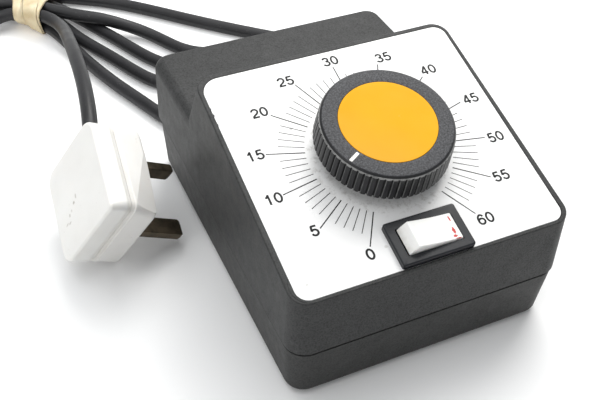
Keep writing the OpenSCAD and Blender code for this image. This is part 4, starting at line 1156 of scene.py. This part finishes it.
for name, (mat, slot) in KEEP.items():
    o = NODES[name]
    o.data.materials.clear()
    o.data.materials.append(mat)
    for p in o.data.polygons:
        p.use_smooth = True
    if name in BEVELS:
        b = o.modifiers.new("edge", "BEVEL")
        b.width, b.segments, b.limit_method, b.angle_limit = BEVELS[name] * MM, 2, "ANGLE", math.radians(40)
        b.harden_normals = True
    else:
        md = o.modifiers.new("split", "EDGE_SPLIT")
        md.split_angle = math.radians(32)
def crv(P, step):
    """Catmull-Rom through P, resampled at equal steps."""
    P=np.asarray(P,float); n=len(P); out=[]
    for i in range(n-1):
        a,b,c,d=P[max(i-1,0)],P[i],P[i+1],P[min(i+2,n-1)]
        for t in np.arange(0,1,0.05):
            out.append(0.5*((2*b)+(c-a)*t+(2*a-5*b+4*c-d)*t*t+(3*b-a-3*c+d)*t**3))
    out.append(P[-1]); out=np.array(out)
    s=np.r_[0,np.cumsum(np.linalg.norm(np.diff(out,axis=0),axis=1))]
    m=int(round(s[-1]/step)); q=np.linspace(0,s[-1],m+1)
    return np.c_[[np.interp(q,s,out[:,k]) for k in range(3)]].T

def lift(X):
    """The tie passes under the strands, so they stand a little off the floor there."""
    q=np.clip((34-np.hypot(X[:,0]+90,X[:,1]-238))/22,0,1)
    return 1.7*q*q*(3-2*q)

def lead_route(iters=700):
    R=3.5
    # given points: x, y, z, hold (1 = keep its place, 0 = free)
    S=[]
    def add(pts,h): 
        for p in pts: S.append((*p,h))
    add([(40,79.9,14),(40,92,14),(40,104,14),(40,110,14)],1)
    add([(42,118.5,12.3),(45.6,128,8.8),(45.6,137.5,5.4),(41,146.5,3.7),(34,154,3.5)],0.6)
    add([(25.5,162.5,3.5),(18,170,3.5),(10,178,3.5),(0.7,187.6,3.5),(-8.4,197.2,3.5),(-17.5,207.1,3.5),(-27,217,3.5),(-36.6,226.5,3.5),(-46.7,234.9,3.5)],1)
    add([(-51.9,238.6,3.5),(-57.4,241.5,3.5),(-63,243.5,3.9),(-68.4,246.2,4.3),(-73.8,249.3,4.7),(-79,253.2,4.8),(-84.2,257.6,4.6)],0.8)
    add([(-96,266.8,3.5)],0.3)
    # far loop 1 (rear): S1 -> S2
    add([(-110,273,3.5),(-126,280,3.5),(-145,286,3.6),(-163,287,3.8),(-178,278,5),(-184,263,6.5),(-179,247,8.5),(-165,238,10),(-148,237,10.5),(-130,242,10.6),(-115,245,11)],0.02)
    add([(-104,243.5,12),(-94.5,235.5,12.8)],0.3)
    add([(-88.5,230,13.1),(-83.3,225.3,13.1),(-78.8,220.6,12.1),(-73.9,217,10.9),(-69.1,213.2,10),(-64.4,208.9,9.9),(-59.5,204.9,10),(-54.6,201.6,10),(-49.4,199.4,8.9)],0.8)
    add([(-44.2,197.5,7.2),(-39,195.4,5.5),(-34.3,191.9,4.2),(-30.1,186.2,3.6),(-26.2,179.7,3.5),(-22.7,171.8,3.5),(-19.5,163.6,3.5)],1)
    # near loop B behind the housing: S2 -> S3
    add([(-15.5,156.5,3.5),(-9,151.8,3.5),(0,150.5,3.5),(10,150.8,3.5),(20,150.6,3.5),(31,147.6,3.5),(38.3,140.5,3.5),(41,130,3.5),(38.3,119.7,3.5),(31,112.4,3.5),(20,109.6,3.5),(10,112.5,3.5),(1,120,3.5),(-8,129.5,3.5),(-18,139,3.5),(-28.5,148,3.5)],0.35)
    add([(-36.2,156.8,3.5),(-37.7,161.3,3.5),(-41.1,169.2,3.5),(-44.5,177.2,3.5),(-47.9,186,3.5),(-51.6,194,3.5)],1)
    add([(-55.3,202,3.5),(-59,210.6,3.5),(-62.8,219.2,3.5),(-67.2,225.7,4),(-71.7,231.3,4.7),(-76.2,237.5,5.2),(-80.9,244,5.2),(-85.7,249.3,5.2)],0.6)
    add([(-96.3,257.5,3.5)],0.3)
    # far loop 2 (middle): S3 -> S4
    add([(-109,263,3.5),(-127,269,3.5),(-146,272,4),(-163,270,7),(-177,261,11),(-184,247,12),(-180,231,10.5),(-168,221,9),(-151,221,9),(-130,232,8.5),(-116,242.5,6.6)],0.02)
    add([(-105.5,248.5,4.5),(-96,247.5,4.6)],0.3)
    add([(-87.2,241.5,5.2),(-82.8,235.7,5.2),(-80.7,230.5,5.2),(-78.9,225.7,5),(-77.1,220.9,4.5),(-75.3,216,4),(-73.8,210.4,3.5),(-72.2,204.5,3.5)],0.6)
    add([(-70.2,198.6,3.5),(-68,194.4,3.5),(-64.5,188.5,3.5),(-60.8,181,3.5),(-57.2,173.3,3.5),(-53.7,165.2,3.5),(-50.3,157,3.5),(-47,149.2,3.5),(-43.7,141.3,3.5),(-42.2,137,3.5)],1)
    # near loop A: S4 -> S5
    add([(-38.5,130.5,3.5),(-32,127.5,3.5),(-23,126.2,3.5),(-13.5,122.3,3.5),(-6.7,115,3.5),(-4.4,105.5,3.5),(-7,95.6,3.5),(-14,88.4,3.5),(-23.5,85.4,3.5),(-33.4,87.6,3.5),(-41.2,94.5,3.5),(-44.8,102,3.5)],0.35)
    add([(-48.6,113.2,3.5),(-50.7,118.4,3.5),(-53.8,126,3.5),(-57.1,133.6,3.5),(-60.4,141.2,3.5),(-63.3,150.1,3.5),(-66.3,159.8,3.5),(-68.8,167.7,3.5),(-71.3,175.3,3.5)],1)
    add([(-73.1,184.1,3.5),(-74.8,193.4,3.5),(-76.2,201.2,3.5),(-78.6,208.8,3.6),(-81.2,215.2,4.3),(-84.4,220.8,4.9),(-88.8,227.6,5.2),(-93.5,233,5),(-98.4,236.4,4.6),(-105.5,239.6,3.7)],0.7)
    # far loop 3 (front): S5 -> S6
    add([(-117,244.5,3.5),(-133,250,3.5),(-151,253,4),(-167,249,5),(-177,237,7),(-177,221,9.5),(-166,209,10.5),(-150,206,10.5),(-133,213,10.5),(-119,225,10.5)],0.02)
    add([(-108,232,10.6),(-99,230,11),(-92,223.8,12),(-86.4,216.6,12.8),(-83.3,214.2,12.7),(-81.1,211.5,12.5),(-79.4,207.6,12.5)],0.6)
    add([(-78.2,202,13.2),(-77.9,196.5,14.2),(-77.9,185,18.2),(-78.7,173.3,22.6),(-80.3,151.9,29.6),(-81.4,137.6,33.4),(-82.2,128.3,35.3),(-83.1,117.3,37.3),(-84.5,102.2,39),(-85.4,94.7,39.5),(-87.4,80.8,39.7),(-89.9,66.9,38.3)],0.8)
    add([(-93.6,54.2,35.1)],1)
    S=np.array(S); P=S[:,:3]; H=S[:,3]
    step=4.0
    X=crv(P,step); n=len(X)
    # hold weights along the curve
    W=np.zeros(n); T=X.copy()
    s=np.r_[0,np.cumsum(np.linalg.norm(np.diff(X,axis=0),axis=1))]
    idx=[]; last=0
    for p,h in zip(P,H):
        d=np.linalg.norm(X[last:]-p,axis=1)
        # nearest within the next stretch
        k=last+int(np.argmin(d[:40])) if len(d)>0 else n-1
        idx.append(k); last=k
    for a,b,ha,hb in zip(idx[:-1],idx[1:],H[:-1],H[1:]):
        for k in range(a,b+1): W[k]=max(W[k],min(ha,hb))
    I,J=np.triu_indices(n,4)
    L0=np.full(n-1,step)
    for it in range(iters):
        f=it/iters
        # settle
        X[:,2]-=(0.12 if f<0.8 else 0.03)*(W<0.5)
        # smooth free stretches
        for _ in range(4 if f<0.8 else 2):
            lap=np.zeros_like(X); lap[2:-2]=(-X[:-4]+4*X[1:-3]+4*X[3:-1]-X[4:])/6-X[2:-2]
            X+=lap*0.45
            # bends: wider spaced smoothing, weak
            k=4; lap=np.zeros_like(X); lap[2*k:-2*k]=(-X[:-4*k]+4*X[k:-3*k]+4*X[3*k:-k]-X[4*k:])/6-X[2*k:-2*k]
            X+=lap*(0.06 if f<0.8 else 0.03)
        # segment length
        for _ in range(2):
            for par in (0,1):
                a=np.arange(par,n-1,2); d=X[a+1]-X[a]; l=np.linalg.norm(d,axis=1,keepdims=True)
                c=d*(l-step)/l*0.5
                X[a]+=c; X[a+1]-=c
        # tightest bend: keep points two apart from folding
        for k in (4,8):
            a=np.arange(0,n-2*k); mid=(X[a]+X[a+2*k])/2; v=X[a+k]-mid; l=np.linalg.norm(v,axis=1,keepdims=True)
            arc=k*step; Rm=24.0; lim=Rm*(1-np.cos(arc/Rm))
            c=v*np.clip(l-lim,0,None)/np.maximum(l,1e-9)
            c=c*0.25; D=np.zeros_like(X); D[a+k]-=c; np.add.at(D,a,c*0.5); np.add.at(D,a+2*k,c*0.5); D[1:-1]=(D[:-2]+2*D[1:-1]+D[2:])/4; X+=D
        # strands rest on each other
        for _ in range(1 if f<0.8 else 3):
            d=X[J]-X[I]; l=np.linalg.norm(d,axis=1); m=l<7.15
            if m.any():
                ii,jj,dd,ll=I[m],J[m],d[m],l[m]
                c=dd/np.maximum(ll,1e-6)[:,None]*((7.15-ll)*0.5)[:,None]
                acc=np.zeros_like(X); cnt=np.zeros(n)
                np.add.at(acc,ii,-c); np.add.at(acc,jj,c); np.add.at(cnt,ii,1); np.add.at(cnt,jj,1)
                acc=acc/np.maximum(cnt,1)[:,None]*1.3
                acc[2:-2]=(acc[:-4]+2*acc[1:-3]+3*acc[2:-2]+2*acc[3:-1]+acc[4:])/5.5
                X+=acc
        # holds
        w=(W*(0.3 if f<0.8 else 0.08))[:,None]
        X+= (T-X)*w*np.array([1,1,0.6])
        # floor and the housing's rear wall
        X[:,2]=np.maximum(X[:,2],R+lift(X))
        inh=(np.abs(X[:,0])<57+R)&(X[:,1]<80.2+R+0.6)&(np.arange(n)>4)
        X[inh,1]=80.2+R+0.6
        X[:8]=T[:8]; X[-1]=T[-1]; X[-2]=T[-2]; X[-3]=T[-3]
    for _ in range(3):
        Y=X.copy(); Y[3:-3]=(X[1:-5]+4*X[2:-4]+6*X[3:-3]+4*X[4:-2]+X[5:-1])/16; X=Y
    for _ in range(40):
        d=X[J]-X[I]; l=np.linalg.norm(d,axis=1); m=l<7.05
        if not m.any(): break
        ii,jj,dd,ll=I[m],J[m],d[m],l[m]
        c=dd/np.maximum(ll,1e-6)[:,None]*((7.05-ll)*0.5)[:,None]
        acc=np.zeros_like(X); cnt=np.zeros(n)
        np.add.at(acc,ii,-c); np.add.at(acc,jj,c); np.add.at(cnt,ii,1); np.add.at(cnt,jj,1)
        acc=acc/np.maximum(cnt,1)[:,None]
        for q in range(2): acc[2:-2]=(acc[:-4]+2*acc[1:-3]+3*acc[2:-2]+2*acc[3:-1]+acc[4:])/7
        acc[:8]=0; acc[-3:]=0
        X+=acc; X[:,2]=np.maximum(X[:,2],R+lift(X))
    return X


ROUTE = lead_route()


def resample(P, step):
    s = np.r_[0, np.cumsum(np.linalg.norm(np.diff(P, axis=0), axis=1))]
    q = np.linspace(0, s[-1], int(round(s[-1] / step)) + 1)
    return np.c_[[np.interp(q, s, P[:, k]) for k in range(3)]].T


def make_lead():
    P = ROUTE
    V, F = tube(P, 3.5, 20)
    o = add("mains_lead", V, F, mats=[LEAD])
    return place(o, "housing", "lead", "cord_exit", "cord_tail", "cord_hank")


lead = make_lead()


def band_material():
    M = Mat("natural_rubber")
    n1 = M.noise(120, 3, 0.6)
    n2 = M.noise(900, 3, 0.65)
    c = M.mix(M.range(n1, 0.3, 0.7), (0.60, 0.47, 0.27), (0.76, 0.66, 0.46))
    c = M.mix(M.range(M.noise(260, 4, 0.7), 0.6, 0.75, 0, 0.4), c, (0.45, 0.31, 0.16))
    # painted shade: the rubber is painted darker brown in its folds and where it presses on the strands, found by
    # ambient occlusion
    ao = M.t.nodes.new("ShaderNodeAmbientOcclusion")
    ao.samples = 6
    ao.inputs["Distance"].default_value = 0.0016
    c = M.mix(M.range(ao.outputs["AO"], 0.75, 0.25, 0.0, 0.75), c, (0.26, 0.15, 0.06))
    M.set("Base Color", c)
    M.set("Roughness", M.range(n1, 0.3, 0.7, 0.45, 0.62))
    M.p.inputs["Subsurface Weight"].default_value = 0.12
    M.p.inputs["Subsurface Radius"].default_value = (0.002, 0.0012, 0.0006)
    M.p.inputs["Subsurface Scale"].default_value = 1.0
    M.set("Normal", M.bump(n2, 0.05, 0.6))
    return M.m


def make_band():
    """A broad rubber tie of several turns, pulled round all six strands."""
    mat = band_material()
    R0, eR = np.array([-84.4, 215.0, 0]), np.array([0.475, 0.88, 0])
    L0, eL = np.array([-96.6, 236.2, 0]), np.array([0.23, 0.97, 0])
    X = ROUTE

    def ring(t, grow):
        p = R0 + (L0 - R0) * t
        e = eR / np.linalg.norm(eR) * (1 - t) + eL / np.linalg.norm(eL) * t
        e /= np.linalg.norm(e)
        nrm = np.array([e[1], -e[0], 0])
        s = (X - p) @ nrm
        pts = []
        for i in np.where(s[:-1] * s[1:] < 0)[0]:
            f = s[i] / (s[i] - s[i + 1])
            c = X[i] + (X[i + 1] - X[i]) * f
            a = (c - p) @ e
            if -12 < a < 58 and c[2] < 22:
                tg = X[i + 1] - X[i]
                tg /= np.linalg.norm(tg)
                k = 1 / max(0.55, abs(tg @ nrm))
                for q in range(24):
                    w = TAU * q / 24
                    pts.append((a + 3.5 * k * math.cos(w), c[2] + 3.5 * math.sin(w)))
        pts = np.array(pts)
        # convex outline, then grown outward
        idx = hull2(pts)
        H = pts[idx]
        K = 72
        nx = np.roll(H, -1, 0) - H
        # unit directions round the circle
        cen = H.mean(0)
        out = []
        for q in range(K):
            w = TAU * q / K
            d = np.array([math.cos(w), math.sin(w)])
            out.append(d)
        D = np.array(out)
        # outline points by arc length
        L = np.linalg.norm(nx, axis=1)
        cum = np.r_[0, np.cumsum(L)]
        q = np.linspace(0, cum[-1], K, endpoint=False)
        Hc = np.vstack([H, H[:1]])
        O = np.c_[np.interp(q, cum, Hc[:, 0]), np.interp(q, cum, Hc[:, 1])]
        nd = np.roll(O, -1, 0) - np.roll(O, 1, 0)
        nn = np.c_[nd[:, 1], -nd[:, 0]]
        nn /= np.linalg.norm(nn, axis=1)[:, None]
        if ((O - cen) * nn).sum() < 0:
            nn = -nn
        O = O + nn * grow
        O[:, 1] = np.maximum(O[:, 1], 0.25)
        start = np.argmin(np.abs(np.arctan2(O[:, 1] - cen[1], O[:, 0] - cen[0]) + math.pi / 2))
        O = np.roll(O, -start, 0)
        return [tuple(p + e * a + np.array([0, 0, z])) for a, z in O]

    def hull2(P):
        order = np.lexsort((P[:, 1], P[:, 0]))
        def half(seq):
            h = []
            for i in seq:
                while len(h) > 1:
                    a, b = P[h[-2]], P[h[-1]]
                    if (b[0] - a[0]) * (P[i][1] - a[1]) - (b[1] - a[1]) * (P[i][0] - a[0]) <= 0:
                        h.pop()
                    else:
                        break
                h.append(i)
            return h
        lo_, up_ = half(order), half(order[::-1])
        return lo_[:-1] + up_[:-1]

    # the outline of the bundle at even steps across the tie, with outward directions
    NT = 15
    G = np.array([ring(t, 0.0) for t in np.linspace(0, 1, NT)])
    Nn = np.array([ring(t, 1.0) for t in np.linspace(0, 1, NT)]) - G
    K = G.shape[1]

    def at(t, q, g):
        f = min(max(t, 0.0), 1.0) * (NT - 1)
        i = min(int(f), NT - 2)
        f -= i
        p = G[i, q] * (1 - f) + G[i + 1, q] * f
        n_ = Nn[i, q] * (1 - f) + Nn[i + 1, q] * f
        n_ = n_ / max(1e-6, np.linalg.norm(n_))
        w = p + n_ * g
        w[2] = max(w[2], 0.06)
        return tuple(w)

    V, F = [], []
    th = np.arange(K) / K * TAU
    # each turn: its two edges along the outline, its lift off the bundle, its thickness
    turns = [
        (0.66 + 0.05 * np.sin(th + 0.6), 1.00 + 0.0 * th, 0.05, 0.75),
        (0.34 + 0.06 * np.sin(th * 1 + 2.0), 0.76 + 0.07 * np.sin(th + 1.2), 0.35 + 0.15 * np.sin(2 * th), 0.8),
        (0.00 + 0.0 * th, 0.42 + 0.09 * np.sin(th + 3.4), 0.75 + 0.25 * np.sin(th + 0.9), 0.95),
        (0.10 + 0.08 * np.sin(th + 5.2), 0.56 + 0.10 * np.sin(th + 4.4), 1.25 + 0.35 * np.sin(th * 1 + 2.6), 0.55),
    ]
    for e0, e1, lift, thick in turns:
        lift = lift + 0 * th
        prof = [(u, 1.0) for u in np.linspace(-1, 1, 11)] + [(u, 0.0) for u in np.linspace(1, -1, 6)[1:-1]]
        rows = []
        for u, top in prof:
            row = []
            for q in range(K):
                t = 0.5 * (e0[q] + e1[q]) + 0.5 * (e1[q] - e0[q]) * u
                # soft waves that follow the pull
                wav = 0.10 * math.sin(7 * u + 3 * math.sin(th[q] * 2)) * (1 - u * u)
                g = lift[q] + (thick * max(0.0, 1 - abs(u) ** 4) ** 0.5 + wav if top else 0.0) + 0.04
                row.append(at(t, q, g))
            rows.append(row)
        b = len(V)
        for r in rows:
            V += r
        k = len(rows)
        for i in range(k):
            j = (i + 1) % k
            for q in range(K):
                w = (q + 1) % K
                F.append((b + i * K + q, b + i * K + w, b + j * K + w, b + j * K + q))
    o = add("rubber_tie", V, F, mats=[mat])
    fix_normals(o)
    return place(o, "housing", "band", "rubber_band")


tie = make_band()
